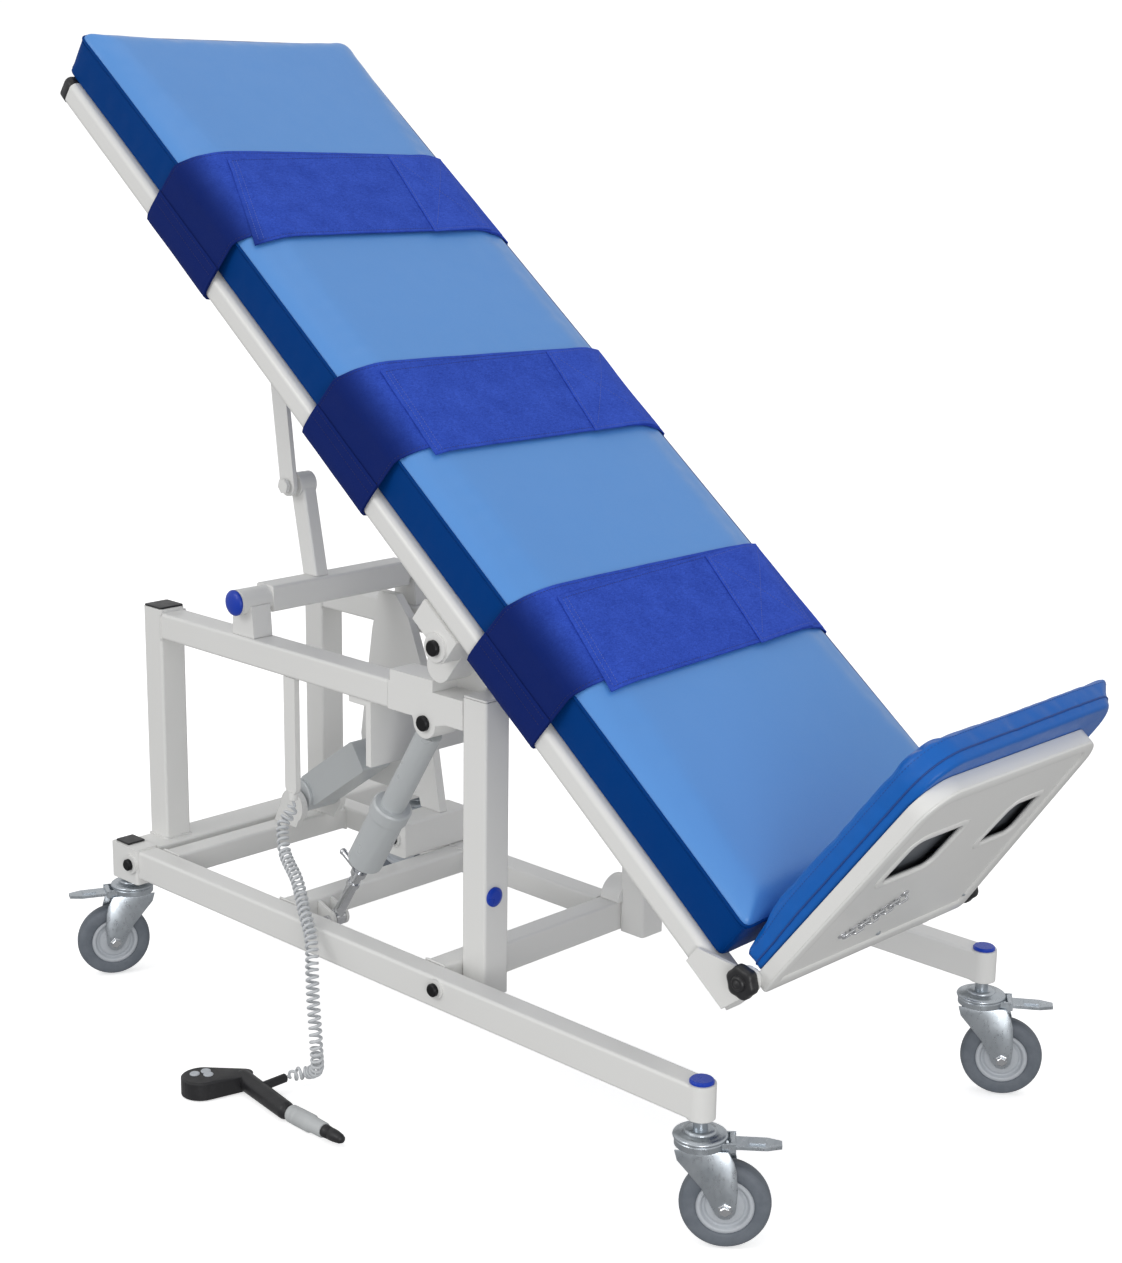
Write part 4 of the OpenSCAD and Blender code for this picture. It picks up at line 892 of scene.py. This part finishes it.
def slab(grid, normals, thick):
    """Closed sheet with soft rims round a grid of middle points in metres"""
    rows, cols = len(grid), len(grid[0])
    half = thick / 2
    points = [grid[r][c] + normals[r][c] * half for r in range(rows) for c in range(cols)]
    points += [grid[r][c] - normals[r][c] * half for r in range(rows) for c in range(cols)]
    under = rows * cols
    faces = []
    for r in range(rows - 1):
        for c in range(cols - 1):
            a = r * cols + c
            faces.append((a, a + cols, a + cols + 1, a + 1))
            faces.append((under + a, under + a + 1, under + a + cols + 1, under + a + cols))
    rim = ([(r, 0) for r in range(rows - 1)] + [(rows - 1, c) for c in range(cols - 1)]
           + [(r, cols - 1) for r in range(rows - 1, 0, -1)] + [(0, c) for c in range(cols - 1, 0, -1)])
    base = len(points)
    for r, c in rim:
        inner = grid[min(max(r, 1), rows - 2)][min(max(c, 1), cols - 2)]
        away = grid[r][c] - inner
        away = away - normals[r][c] * away.dot(normals[r][c])
        points.append(grid[r][c] + away.normalized() * half * 0.8)
    for k, (r, c) in enumerate(rim):
        m = (k + 1) % len(rim)
        p, q = r * cols + c, rim[m][0] * cols + rim[m][1]
        faces.append((p, q, base + m, base + k))
        faces.append((base + k, base + m, under + q, under + p))
    return points, faces


COLUMNS = 32
GROOVE = 5.0


def column_shares(width):
    """Positions across a strap, closer together at the rims and along the stitch grooves"""
    edge = [0, 1.2, 3.4, GROOVE, 6.6, 10]
    middle = list(np.linspace(16, width - 16, COLUMNS - 12))
    return [v / width for v in edge + middle + [width - v for v in reversed(edge)]]


class Strap:
    """Band of webbing over the pad: rows run along it and shares run across it"""

    def __init__(self, near_u, near_w, far_u, far_w, rows=110):
        self.near_u, self.near_w, self.far_u, self.far_w = near_u, near_w, far_u, far_w
        self.width = (near_w + far_w) / 2
        guide = [strap_line(near_u + near_w * k / 6, rows) for k in range(7)]
        self.rows = rows
        self.guide = np.array(guide)
        self.seed = near_u * 0.01

    def line(self, share):
        place = share * 6
        k = min(5, int(place))
        t = place - k
        return self.guide[k] * (1 - t) + self.guide[k + 1] * t

    def u_at(self, share, y):
        t = min(1, max(0, (y - BED_Y) / (PAD_FAR_Y - BED_Y)))
        near = self.near_u + self.near_w * share
        far = self.far_u + self.far_w * share
        return near + (far - near) * t

    def spot(self, share, y, n, shift=0):
        return on_bed(self.u_at(share, y) + shift, y, n)

    def wave(self, share, s):
        return 0.7 + 0.7 * noise.noise(Vector((share * 2.2, s * 0.016, self.seed)))

    def base(self, first=0, last=None, lift=0, thick=2.4, inset=0):
        """Grid along the path; lift in millimetres off the base layer"""
        last = self.rows if last is None else last
        shares = column_shares(self.width)
        if inset:
            shares = [inset / self.width + v * (1 - 2 * inset / self.width) for v in shares]
        lines = [self.line(v) for v in shares]
        grid = []
        normals = []
        for r in range(first, last):
            row = []
            row_n = []
            for v, line in zip(shares, lines):
                a, b = line[max(0, r - 1)], line[min(self.rows - 1, r + 1)]
                size = math.hypot(*(b - a)) or 1
                out_y, out_n = -(b[1] - a[1]) / size, (b[0] - a[0]) / size
                groove = 0.35 * math.exp(-((min(v, 1 - v) * self.width - GROOVE) / 1.1) ** 2)
                rise = lift + self.wave(v, r * 7) - groove
                y, n = line[r][0] + out_y * rise, line[r][1] + out_n * rise
                row.append(self.spot(v, y, n))
                row_n.append(UP_Y * out_y + BED_N * out_n)
            grid.append(row)
            normals.append(row_n)
        return grid, normals, thick

    def top(self, start, end, lift, thick, shift, rows=64):
        """Layer on top: start and end give Y at the low-u and high-u sides"""
        shares = column_shares(self.width)
        lines = []
        for v in shares:
            line = self.line(v)
            keep = line[:, 1] > 70
            lines.append(line[keep])
        places = [0, 0.004, 0.009, 0.014, 0.022] + list(np.linspace(0.034, 0.966, rows)) + [
            0.978, 0.986, 0.991, 0.996, 1]
        grid = []
        normals = []
        for t in places:
            row = []
            row_n = []
            for v, line in zip(shares, lines):
                y_start = start[0] + (start[1] - start[0]) * v
                y_end = end[0] + (end[1] - end[0]) * v
                y = y_start + (y_end - y_start) * t
                n = float(np.interp(y, line[:, 0], line[:, 1]))
                n_far = float(np.interp(y + 4, line[:, 0], line[:, 1]))
                n_near = float(np.interp(y - 4, line[:, 0], line[:, 1]))
                slope = Vector((0, 8, n_far - n_near)).normalized()
                out_y, out_n = -slope.z, slope.y
                groove = 0.3 * math.exp(-((min(v, 1 - v) * self.width - GROOVE) / 1.1) ** 2)
                from_end = min(t, 1 - t) * abs(y_end - y_start)
                groove = max(groove, 0.3 * math.exp(-((from_end - GROOVE) / 1.1) ** 2))
                rise = lift + self.wave(v, y) - groove
                slide = shift[0] + (shift[1] - shift[0]) * t
                row.append(self.spot(v, y + out_y * rise, n + out_n * rise, slide))
                row_n.append(UP_Y * out_y + BED_N * out_n)
            grid.append(row)
            normals.append(row_n)
        return grid, normals, thick


def thread_on(layer, ends, count):
    """Line of stitches on a layer from one (row share, column share) to another"""
    grid, normals, thick = layer
    rows, cols = len(grid), len(grid[0])
    lines = []
    for k in range(count + 1):
        t = k / count
        r = (ends[0][0] + (ends[1][0] - ends[0][0]) * t) * (rows - 1)
        c = (ends[0][1] + (ends[1][1] - ends[0][1]) * t) * (cols - 1)
        i, j = min(rows - 2, int(r)), min(cols - 2, int(c))
        x, y = r - i, c - j
        place = ((grid[i][j] * (1 - x) + grid[i + 1][j] * x) * (1 - y)
                 + (grid[i][j + 1] * (1 - x) + grid[i + 1][j + 1] * x) * y)
        normal = normals[i][j]
        lines.append((place + normal * (thick * MM / 2), normal))
    return [p for p, _ in lines], [q for _, q in lines]


def column_at(distance, width):
    """Column share of a distance from the rim"""
    shares = column_shares(width)
    return float(np.interp(distance / width, shares, np.linspace(0, 1, len(shares))))


def make_strap(node, near_u, near_w, far_u, far_w, start, end, patch_start, patch_end, shift):
    """Straps start at near_u on the near rail and at far_u on the far side, with their widths"""
    strap = Strap(near_u, near_w, far_u, far_w)
    base = strap.base()
    fold = strap.base(0, 13, 2.6, 2.2, 0.6)
    overlay = strap.top(start, end, 2.9, 2.6, shift)
    patch = strap.top(patch_start, patch_end, 5.6, 2.0, (shift[0] * 0.5, shift[1]), 30)
    for name, layer, material in (("web", base, STRAP), ("fold", fold, STRAP), ("overlay", overlay, STRAP),
                                  ("patch", patch, STRAP_PATCH)):
        grid, normals, thick = layer
        piece = make_piece(node + "_" + name, *slab(grid, normals, thick * MM), material)
        # painted shade: share of the dark colour, rising where the strap turns down the pad's near side and
        # round the rail
        side_shade = piece.data.attributes.new("side_shade", "FLOAT", "POINT")
        for k, vertex in enumerate(piece.data.vertices):
            y = to_section(vertex.co)[0]
            side_shade.data[k].value = ease((112 - y) / 66)
        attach(piece, "bed")
    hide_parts(node)
    low, inner = column_at(GROOVE, strap.width), column_at(12, strap.width)
    high, outer = 1 - low, 1 - inner
    dark = ((base, 0.02, low, 0.98, low, 160), (base, 0.02, high, 0.98, high, 160),
            (fold, 0.80, low, 0.80, high, 60), (fold, 0.94, low, 0.94, high, 60),
            (overlay, 0.03, low, 0.97, low, 120), (overlay, 0.03, high, 0.97, high, 120))
    pale = ((overlay, 0.035, low, 0.035, high, 60), (overlay, 0.062, low, 0.062, high, 60),
            (patch, 0.12, low, 0.12, high, 60), (patch, 0.90, low, 0.90, high, 60),
            (patch, 0.07, low, 0.93, low, 60), (patch, 0.07, high, 0.93, high, 60),
            (patch, 0.84, inner, 0.84, outer, 60), (patch, 0.16, inner, 0.84, outer, 60),
            (patch, 0.84, inner, 0.16, outer, 60))
    for name, lines, material in (("thread", dark, THREAD_DARK), ("hem_thread", pale, THREAD_PALE)):
        sewn = [stitches(*thread_on(layer, ((from_row, from_column), (to_row, to_column)), count))
                for layer, from_row, from_column, to_row, to_column, count in lines]
        piece = make_piece(node + "_" + name, *joined(sewn), material)
        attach(piece, "bed")


make_strap("strap_head", 303, 184, 326, 192, (122, 70), (588, 588), (453, 424), (581, 556), (22, 0))
make_strap("strap_mid", 788, 172, 806, 178, (110, 99), (588, 588), (455, 426), (586, 574), (18, 0))
make_strap("strap_foot", 1250, 166, 1247, 174, (118, 95), (588, 588), (443, 418), (582, 554), (22, 0))


# Foot board: lips round the windows, flange on the rim, backing board
TRAY_W = 455
TRAY_H = 415
TRAY_MID_N = 198.5
TRAY_TOP_R = 50
TRAY_LOW_R = 14
WINDOW_FROM_MID = 110
WINDOW_N = 249
WINDOW_W = 112
WINDOW_H = 92
WINDOW_R = 18


def round_loop(w, h, r, r_low=None, steps=6):
    """Closed rounded rectangle, centred; its two lower corners may have another radius"""
    points = []
    r_low = r if r_low is None else r_low
    for sx, sy, first, size in ((1, 1, 0, r), (-1, 1, 90, r), (-1, -1, 180, r_low), (1, -1, 270, r_low)):
        for k in range(steps + 1):
            turn = math.radians(first + 90 * k / steps)
            points.append((sx * (w / 2 - size) + size * math.cos(turn),
                           sy * (h / 2 - size) + size * math.sin(turn)))
    return points


def band(loops):
    """Closed ring surface through several loops of the same count"""
    count = len(loops[0])
    verts = [p for loop in loops for p in loop]
    faces = []
    for i in range(len(loops)):
        for k in range(count):
            a, b = i * count + k, i * count + (k + 1) % count
            j = (i + 1) % len(loops)
            faces.append((a, b, j * count + (k + 1) % count, j * count + k))
    return verts, faces


def stack(loops, open_end=False):
    """Surface through stacked loops, filled at the first and, unless it is left open, at the last"""
    count = len(loops[0])
    verts, faces = band(loops)
    faces = faces[:-count]
    faces.append(tuple(reversed(range(count))))
    if not open_end:
        faces.append(tuple(range((len(loops) - 1) * count, len(loops) * count)))
    return verts, faces


def tray_ring(inset, u):
    """The tray's outline, moved in, at a height from the board's plane"""
    outline = round_loop(TRAY_W - inset * 2, TRAY_H - inset * 2, max(2, TRAY_TOP_R - inset),
                         max(2, TRAY_LOW_R - inset), 8)
    return [on_board(u, narrow(MID_Y + a, TRAY_MID_N + b), TRAY_MID_N + b) for a, b in outline]


RIM_PROFILE = ((0.3, 12), (0.3, 21.2), (0.9, 22.4), (2, 23), (19, 23), (21.5, 22.6), (23.5, 21), (24.5, 20.1),
               (24.5, 17.5), (3.5, 17.5), (3.5, 12))
rim = make_piece("footrest_tray_flange", *band([tray_ring(inset, u) for inset, u in RIM_PROFILE]), WHITE)
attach(rim, "foot_board")
LIP_PROFILE = ((-1.5, 15), (-2.6, 18), (-2.2, 20.6), (0, 21.8), (4, 22), (8, 21.2), (10.5, 20.1),
               (10.5, 18.5), (3, 18.5))
lip_parts = []
for side in (-1, 1):
    loops = []
    for grow, u in LIP_PROFILE:
        loops.append([on_board(u, narrow(MID_Y + side * WINDOW_FROM_MID + y, WINDOW_N + n), WINDOW_N + n)
                      for y, n in round_loop(WINDOW_W + grow * 2, WINDOW_H + grow * 2, WINDOW_R + grow)])
    lip_parts.append(band(loops))
lips = make_piece("footrest_window_lips", *joined(lip_parts), WHITE)
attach(lips, "foot_board")
BACKING_PROFILE = ((8, 1.5), (6, 2), (6, 4), (8, 4.6), (60, 4.8), (120, 4.8), (180, 4.8), (200, 4.8),
                   (200, 1.5), (180, 1.5), (120, 1.5), (60, 1.5))
tray_data = frame["nodes"]["footrest_tray"].data.copy()
for vertex in tray_data.vertices:
    y = (vertex.co.y + CENTRE_Y) / MM
    x = (vertex.co.x + CENTRE_X) / MM - BED_X
    n = x * math.sin(TILT) + (vertex.co.z / MM - BED_Z) * math.cos(TILT) - BOARD_N
    u = x * math.cos(TILT) - (vertex.co.z / MM - BED_Z) * math.sin(TILT) - BOARD_U
    vertex.co = on_board(u, narrow(y, n), n)
tray_data.name = "footrest_tray_shell"
tray_data.materials.clear()
tray_data.materials.append(WHITE)
tray = bpy.data.objects.new("footrest_tray_shell", tray_data)
bpy.context.scene.collection.objects.link(tray)
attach(tray, "foot_board")
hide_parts("footrest_tray")
backing = make_piece("footrest_backing", *band([tray_ring(inset, u) for inset, u in BACKING_PROFILE]),
                     BACKING)
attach(backing, "foot_board")
rivets = []
for y, n in ((70, 30), (482, 30), (276, 24), (276, 385), (160, 390), (392, 390)):
    rivets.append(lathe([(0.0042, 0), (0.0040, 0.0009), (0.0028, 0.0019), (0.0010, 0.0023)],
                        on_board(20, narrow(y, n), n), BED_U, 20))
rivet_piece = make_piece("footrest_rivets", *joined(rivets), ZINC)
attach(rivet_piece, "foot_board")


# Short chain on the tray's outer face, held by a plate at each end
CHAIN_LINKS = 8
LINK_PITCH = 0.0121
chain_way = (UP_Y * math.cos(TILT * 0.9) + BED_N * math.sin(TILT * 0.9)).normalized()
chain_side = BED_U.cross(chain_way)
chain_start = on_board(24.6, 150, 80)
chain_parts = []
for k in range(CHAIN_LINKS):
    middle = chain_start + chain_way * ((k + 0.5) * LINK_PITCH)
    across = (chain_side if k % 2 == 0 else BED_U * 0.5 + chain_side * 0.3).normalized()
    loop = []
    for m in range(24):
        turn = 2 * math.pi * m / 24
        stretch = math.copysign(0.0040, math.cos(turn))
        along = chain_way * (stretch + 0.0052 * math.cos(turn))
        loop.append(middle + along + across * (0.0054 * math.sin(turn)))
    chain_parts.append(tube(loop, 0.0015, 8, True))
CHAIN_ANCHOR = ((0.0068, 0), (0.0068, 0.0014), (0.0048, 0.0026), (0.0028, 0.0034), (0.0028, 0.0056),
                (0.0010, 0.0062))
for end in (-0.003, CHAIN_LINKS * LINK_PITCH + 0.003):
    anchor_place = chain_start + chain_way * end - BED_U * 0.0046
    chain_parts.append(lathe(CHAIN_ANCHOR, anchor_place, BED_U, 24))
chain = make_piece("footrest_chain", *joined(chain_parts), CHROME)
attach(chain, "foot_board")
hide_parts("footrest_hooks")


# Black end caps that wrap the bed rails' head ends, open inside the rail
def rail_cap(y0):
    loops = []
    for u, grow in ((-5.6, -3.5), (-5.2, -1.2), (-3.8, 0.3), (12, 0.7), (13, 0.2), (13, -2)):
        loops.append([on_bed(u, y0 + RAIL / 2 + a, RAIL / 2 + b)
                      for a, b in round_loop(RAIL + grow * 2, RAIL + grow * 2, 10 + min(0, grow) / 2)])
    return stack(loops, open_end=True)


rail_caps = make_piece("bed_rail_caps", *joined([rail_cap(BED_Y), rail_cap(BED_FAR_Y - RAIL)]), BLACK)
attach(rail_caps, "bed")


# Knobs: flat star grip with a centre cap
for name, body, y, way in (("near", "knob_a", BED_Y - 6.3, -1), ("far", "knob_b", BED_FAR_Y + 6.3, 1)):
    axis = UP_Y * way
    cap = lathe([(0.0112, 0.0175), (0.0108, 0.0202), (0.0088, 0.0226), (0.0070, 0.0232), (0.0064, 0.0224),
                 (0.0050, 0.0230), (0.0030, 0.0246), (0.0008, 0.0251)], on_board(0, y, 0), axis, 32)
    lobes = lathe([(0.0150, 0.0010), (0.0206, 0.0028), (0.0224, 0.0062), (0.0224, 0.0138), (0.0208, 0.0172),
                   (0.0168, 0.0190), (0.0130, 0.0186)], on_board(0, y, 0), axis, 96, 0.055, 6)
    knob = make_piece("knob_" + name + "_grip", *joined([lobes, cap]), BLACK)
    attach(knob, body)
    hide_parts("knob_" + name)


# Casters: tyres, hubs, bearing rings, fork sides and axle bolts; profiles are (radius, along the axis)
WHEEL_R = 0.0625
TRAIL = 0.036
FORK_OUT = 21.5
FORK_THICK = 2.4
FORK_SIDE = ((-34, 147), (38, 147), (46, 132), (50, 118), (52, 90), (51, 66), (49, 57), (43, 50), (36, 48.5),
             (29, 50), (23, 56), (4, 92), (-18, 118), (-30, 132))
TYRE_SIDE = ((0.0395, 0.0140), (0.0412, 0.0154), (0.0432, 0.0158), (0.0500, 0.0160), (0.0550, 0.0155),
             (0.0580, 0.0140), (0.0602, 0.0108), (0.0612, 0.0080), (0.0609, 0.0072), (0.0616, 0.0064),
             (0.0624, 0.0))
HUB_SIDE = ((0.0052, 0.0160), (0.0125, 0.0160), (0.0140, 0.0148), (0.0150, 0.0128), (0.0240, 0.0124),
            (0.0262, 0.0118), (0.0272, 0.0092), (0.0302, 0.0088), (0.0318, 0.0100), (0.0328, 0.0140),
            (0.0340, 0.0148), (0.0372, 0.0148), (0.0384, 0.0140), (0.0390, 0.0132), (0.0404, 0.0132))
RACE = ((0.0300, 0.1565), (0.0345, 0.1568), (0.0368, 0.1582), (0.0374, 0.1600), (0.0366, 0.1618),
        (0.0345, 0.1632), (0.0305, 0.1640), (0.0262, 0.1648), (0.0240, 0.1660))
RACE_TOP = ((0.0215, 0.1626), (0.0222, 0.1660), (0.0215, 0.1685), (0.0150, 0.1692), (0.0110, 0.1692))
AXLE_BOLT = ((0.0098, 0.0236), (0.0098, 0.0248), (0.0086, 0.0252), (0.0074, 0.0252), (0.0074, 0.0290),
             (0.0062, 0.0300), (0.0012, 0.0301))
CASTERS = ((1330, 20, 40), (1330, 685, 35), (30, 20, -115), (30, 685, 200))
UP = Vector((0, 0, 1))


def both_sides(side, shared):
    """Closed profile from one side's half; shared is the count of points on the middle plane"""
    return [(r, -s) for r, s in side[:len(side) - shared]] + list(reversed(side))


for index, (x, y, turn) in enumerate(CASTERS, 1):
    heading = Vector((math.cos(math.radians(turn)), math.sin(math.radians(turn)), 0))
    axis = Vector((-heading.y, heading.x, 0))
    place = at(x, y, 0)
    hub_place = place + heading * TRAIL + UP * WHEEL_R
    tyre = make_piece("caster_tyre_%d" % index,
                      *lathe(both_sides(TYRE_SIDE, 1), hub_place, axis, 96, ring=True), TYRE)
    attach(tyre, "wheel_%d" % index)
    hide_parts("caster_wheel_%d" % index)
    hub = make_piece("caster_hub_%d" % index,
                     *lathe(both_sides(HUB_SIDE, 0), hub_place, axis, 80, ring=True), HUB_GREY)
    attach(hub, "wheel_%d" % index)
    ring = make_piece("caster_ring_%d" % index,
                      *joined([lathe(RACE, place, UP, 64), lathe(RACE_TOP, place, UP, 48)]), ZINC)
    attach(ring, "swivel_%d" % index)
    side_parts = []
    bolts = []
    for way in (-1, 1):
        inner = place + axis * (way * FORK_OUT * MM)
        side_parts.append(plate(FORK_SIDE, lambda a, b: inner + heading * (a * MM) + UP * (b * MM),
                                axis * (way * FORK_THICK * MM)))
        bolts.append(lathe(AXLE_BOLT, hub_place, axis * way, 6))
    sides = make_piece("caster_sides_%d" % index, *joined(side_parts), ZINC)
    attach(sides, "swivel_%d" % index)
    bolt = make_piece("caster_bolts_%d" % index, *joined(bolts), CHROME, False)
    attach(bolt, "swivel_%d" % index)


# Weld beads at tube joints
def bead(points, radius=0.0021):
    dense = []
    for a, b in zip(points, points[1:] + points[:1]):
        steps = max(1, round((b - a).length / 0.0022))
        dense.extend(a.lerp(b, k / steps) for k in range(steps))
    return tube(dense, radius, 8, True, 0.55)


def box_loop(axis, level, a0, a1, b0, b1):
    """Rectangle across an axis: x gives (y, z), y gives (x, z), z gives (x, y)"""
    corners = ((a0, b0), (a1, b0), (a1, b1), (a0, b1))
    if axis == "x":
        return [at(level, a, b) for a, b in corners]
    if axis == "y":
        return [at(a, level, b) for a, b in corners]
    return [at(a, b, level) for a, b in corners]


POST_YS = (75, 427)
POST_W = 50
welds = []
for y in POST_YS:
    welds.append(bead(box_loop("x", 60.3, y, y + POST_W, 594, 639)))
    welds.append(bead(box_loop("z", 235.6, 10, 60, y, y + POST_W)))
for x0, x1 in ((10, 80), (767, 807)):
    welds.append(bead(box_loop("y", 40.6, x0, x1, 185, 235)))
    welds.append(bead(box_loop("y", 664.6, x0, x1, 185, 235)))
for x in (100, 417):
    welds.append(bead(box_loop("y", 40.6, x, x + 40, 195, 235)))
    welds.append(bead(box_loop("y", 411.6, x, x + 40, 195, 235)))
weld_piece = make_piece("frame_welds", *joined(welds), WELD)
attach(weld_piece, "frame")


# Hand control: keys, cord sleeve and tip
HAND_X = 505
HAND_Y = -188
HAND_TOP = 29.8
sleeve_start = at(662, -151, 15)
keys = []
for dx, dy in ((-10, -6), (6, 8), (-6, 12)):
    keys.append(lathe([(0.0078, 0), (0.0078, 0.0014), (0.0068, 0.0024), (0.0052, 0.0022), (0.0008, 0.0018)],
                      at(HAND_X + dx, HAND_Y + dy, HAND_TOP), UP, 32))
key_piece = make_piece("handset_keys", *joined(keys), HUB_GREY)
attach(key_piece, "frame")
sleeve_profile = [(0.0090, 0.0143), (0.0128, 0.0148), (0.0136, 0.0170), (0.0138, 0.0230), (0.0130, 0.0245),
                  (0.0138, 0.0262), (0.0140, 0.0330), (0.0132, 0.0345), (0.0140, 0.0362), (0.0141, 0.0620),
                  (0.0134, 0.0640), (0.0122, 0.0660), (0.0119, 0.0900), (0.0112, 0.0920), (0.0080, 0.0924)]
sleeve = make_piece("handset_sleeve_shell", *lathe(sleeve_profile, sleeve_start, Vector((1, 0, 0)), 40),
                    SLEEVE_GREY)
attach(sleeve, "frame")
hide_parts("handset_sleeve")
tip_profile = [(0.0070, 0.0918), (0.0096, 0.0926), (0.0100, 0.0945), (0.0094, 0.1030), (0.0080, 0.1040),
               (0.0080, 0.1060), (0.0094, 0.1070), (0.0092, 0.1160), (0.0076, 0.1280), (0.0055, 0.1330),
               (0.0010, 0.1345)]
tip = make_piece("handset_tip", *lathe(tip_profile, sleeve_start, Vector((1, 0, 0)), 40), BLACK)
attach(tip, "frame")


# Flat caps on the tube ends: black at the rear, painted on the front posts
def cap_plate(x0, x1, y0, y1, z, thick, r):
    loops = []
    for inset, up in ((0.8, 0), (0, 0.5), (0, thick - 0.9), (0.9, thick - 0.1), (2.2, thick)):
        middle = ((x0 + x1) / 2, (y0 + y1) / 2)
        loops.append([at(middle[0] + a, middle[1] + b, z + up)
                      for a, b in round_loop(x1 - x0 - inset * 2, y1 - y0 - inset * 2, max(1, r - inset))])
    return stack(loops)


POST_TOP = 645.3
CAP_THICK = 3
rear_caps = make_piece("caps_rear", *joined(
    [cap_plate(11, 59, y + 1, y + POST_W - 1, POST_TOP, CAP_THICK, 4) for y in POST_YS]
    + [cap_plate(10, 47.5, 2.5, 37.5, 238.3, CAP_THICK, 2.5),
       cap_plate(427, 447, 80, 100, 191.7, CAP_THICK, 9)]), BLACK)
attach(rear_caps, "frame")
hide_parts("black_caps")
front_caps = make_piece("caps_front", *joined(
    [cap_plate(808, 856, y + 1, y + POST_W - 1, POST_TOP, CAP_THICK, 4) for y in POST_YS]), WHITE)
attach(front_caps, "frame")


# Blue domed plug in the rocker tube's near end
dome_cap = make_piece("rocker_dome", *lathe(
    [(0.0205, 0), (0.0214, 0.0008), (0.0214, 0.0030), (0.0200, 0.0052), (0.0165, 0.0074), (0.0110, 0.0090),
     (0.0050, 0.0097), (0.0008, 0.0098)], at(280, 66.8, 697), Vector((0, -1, 0)), 48), BLUE_CAP)
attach(dome_cap, "rocker")


# Floor, white wall seen by the camera alone, lamps
def make_studio():
    n = Nodes("studio_floor")
    tone = n.noise(0.8, 3, 0.5)
    colour = n.mix(n.span(tone, 0.3, 0.7, 0, 1), (0.93, 0.93, 0.93, 1), (0.90, 0.90, 0.90, 1))
    n.give(n.shader, {"Emission Color": (1, 1, 1, 1), "Emission Strength": 0.55,
                      "Specular IOR Level": 0.1})
    material = n.finish(colour, 0.8)
    shape = bmesh.new()
    bmesh.ops.create_grid(shape, x_segments=12, y_segments=12, size=60)
    floor = make_piece("floor", *lists(shape), material)
    floor.visible_diffuse = False
    floor.visible_glossy = False
    dome = Nodes("studio_wall")
    shade = dome.noise(0.5, 2, 0.5)
    dome.give(dome.shader, {"Emission Color": (1, 1, 1, 1), "Emission Strength": 1.05,
                            "Specular IOR Level": 0})
    wall_material = dome.finish(dome.mix(shade, (0.02, 0.02, 0.02, 1), (0.03, 0.03, 0.03, 1)), 1.0)
    profile = [(55 * math.cos(math.radians(t)), 55 * math.sin(math.radians(t))) for t in range(-2, 90, 6)]
    wall = make_piece("studio_wall", *lathe(profile, Vector((0, 0, 0)), Vector((0, 0, 1)), 48), wall_material)
    wall.visible_diffuse = False
    wall.visible_glossy = False
    wall.visible_transmission = False
    wall.visible_shadow = False


def make_lights():
    world = bpy.data.worlds.new("studio")
    bpy.context.scene.world = world
    world.use_nodes = True
    tree = Tree(world.node_tree)
    place = tree.add("ShaderNodeTexCoord").outputs["Generated"]
    apart = tree.add("ShaderNodeSeparateXYZ", {0: place})

    def rise(value, low, high):
        node = tree.add("ShaderNodeMapRange")
        node.interpolation_type = "SMOOTHSTEP"
        tree.give(node, {"From Min": low, "From Max": high, "Value": value})
        return node.outputs["Result"]

    sides = tree.mix(rise(apart.outputs["X"], 0.05, 0.75), (0.70, 0.70, 0.70, 1), (0.74, 0.74, 0.74, 1))
    glow = tree.add("ShaderNodeBackground", {
        "Color": tree.mix(rise(apart.outputs["Z"], -0.35, 0.25), (0.36, 0.36, 0.362, 1), sides),
        "Strength": 1.0})
    tree.add("ShaderNodeOutputWorld", {0: glow.outputs[0]})
    for name, spot, target, size, power in (
            ("key", (-1.2, -3.8, 2.9), (0, 0, 0.6), 2.2, 36),
            ("top", (-0.6, 0.2, 4.6), (0, 0, 0.5), 2.6, 8),
            ("fill", (3.4, -2.6, 0.7), (0, 0, 0.5), 2.0, 46)):
        light = bpy.data.lights.new(name, "AREA")
        light.shape = "DISK"
        light.size = size
        light.energy = power
        lamp = bpy.data.objects.new(name, light)
        bpy.context.scene.collection.objects.link(lamp)
        ahead = (Vector(target) - Vector(spot)).normalized()
        lamp.rotation_mode = "QUATERNION"
        lamp.rotation_quaternion = ahead.to_track_quat("-Z", "Y")
        lamp.location = spot


make_studio()
make_lights()
bpy.context.scene.view_settings.view_transform = "Standard"
bpy.context.scene.view_settings.look = "None"
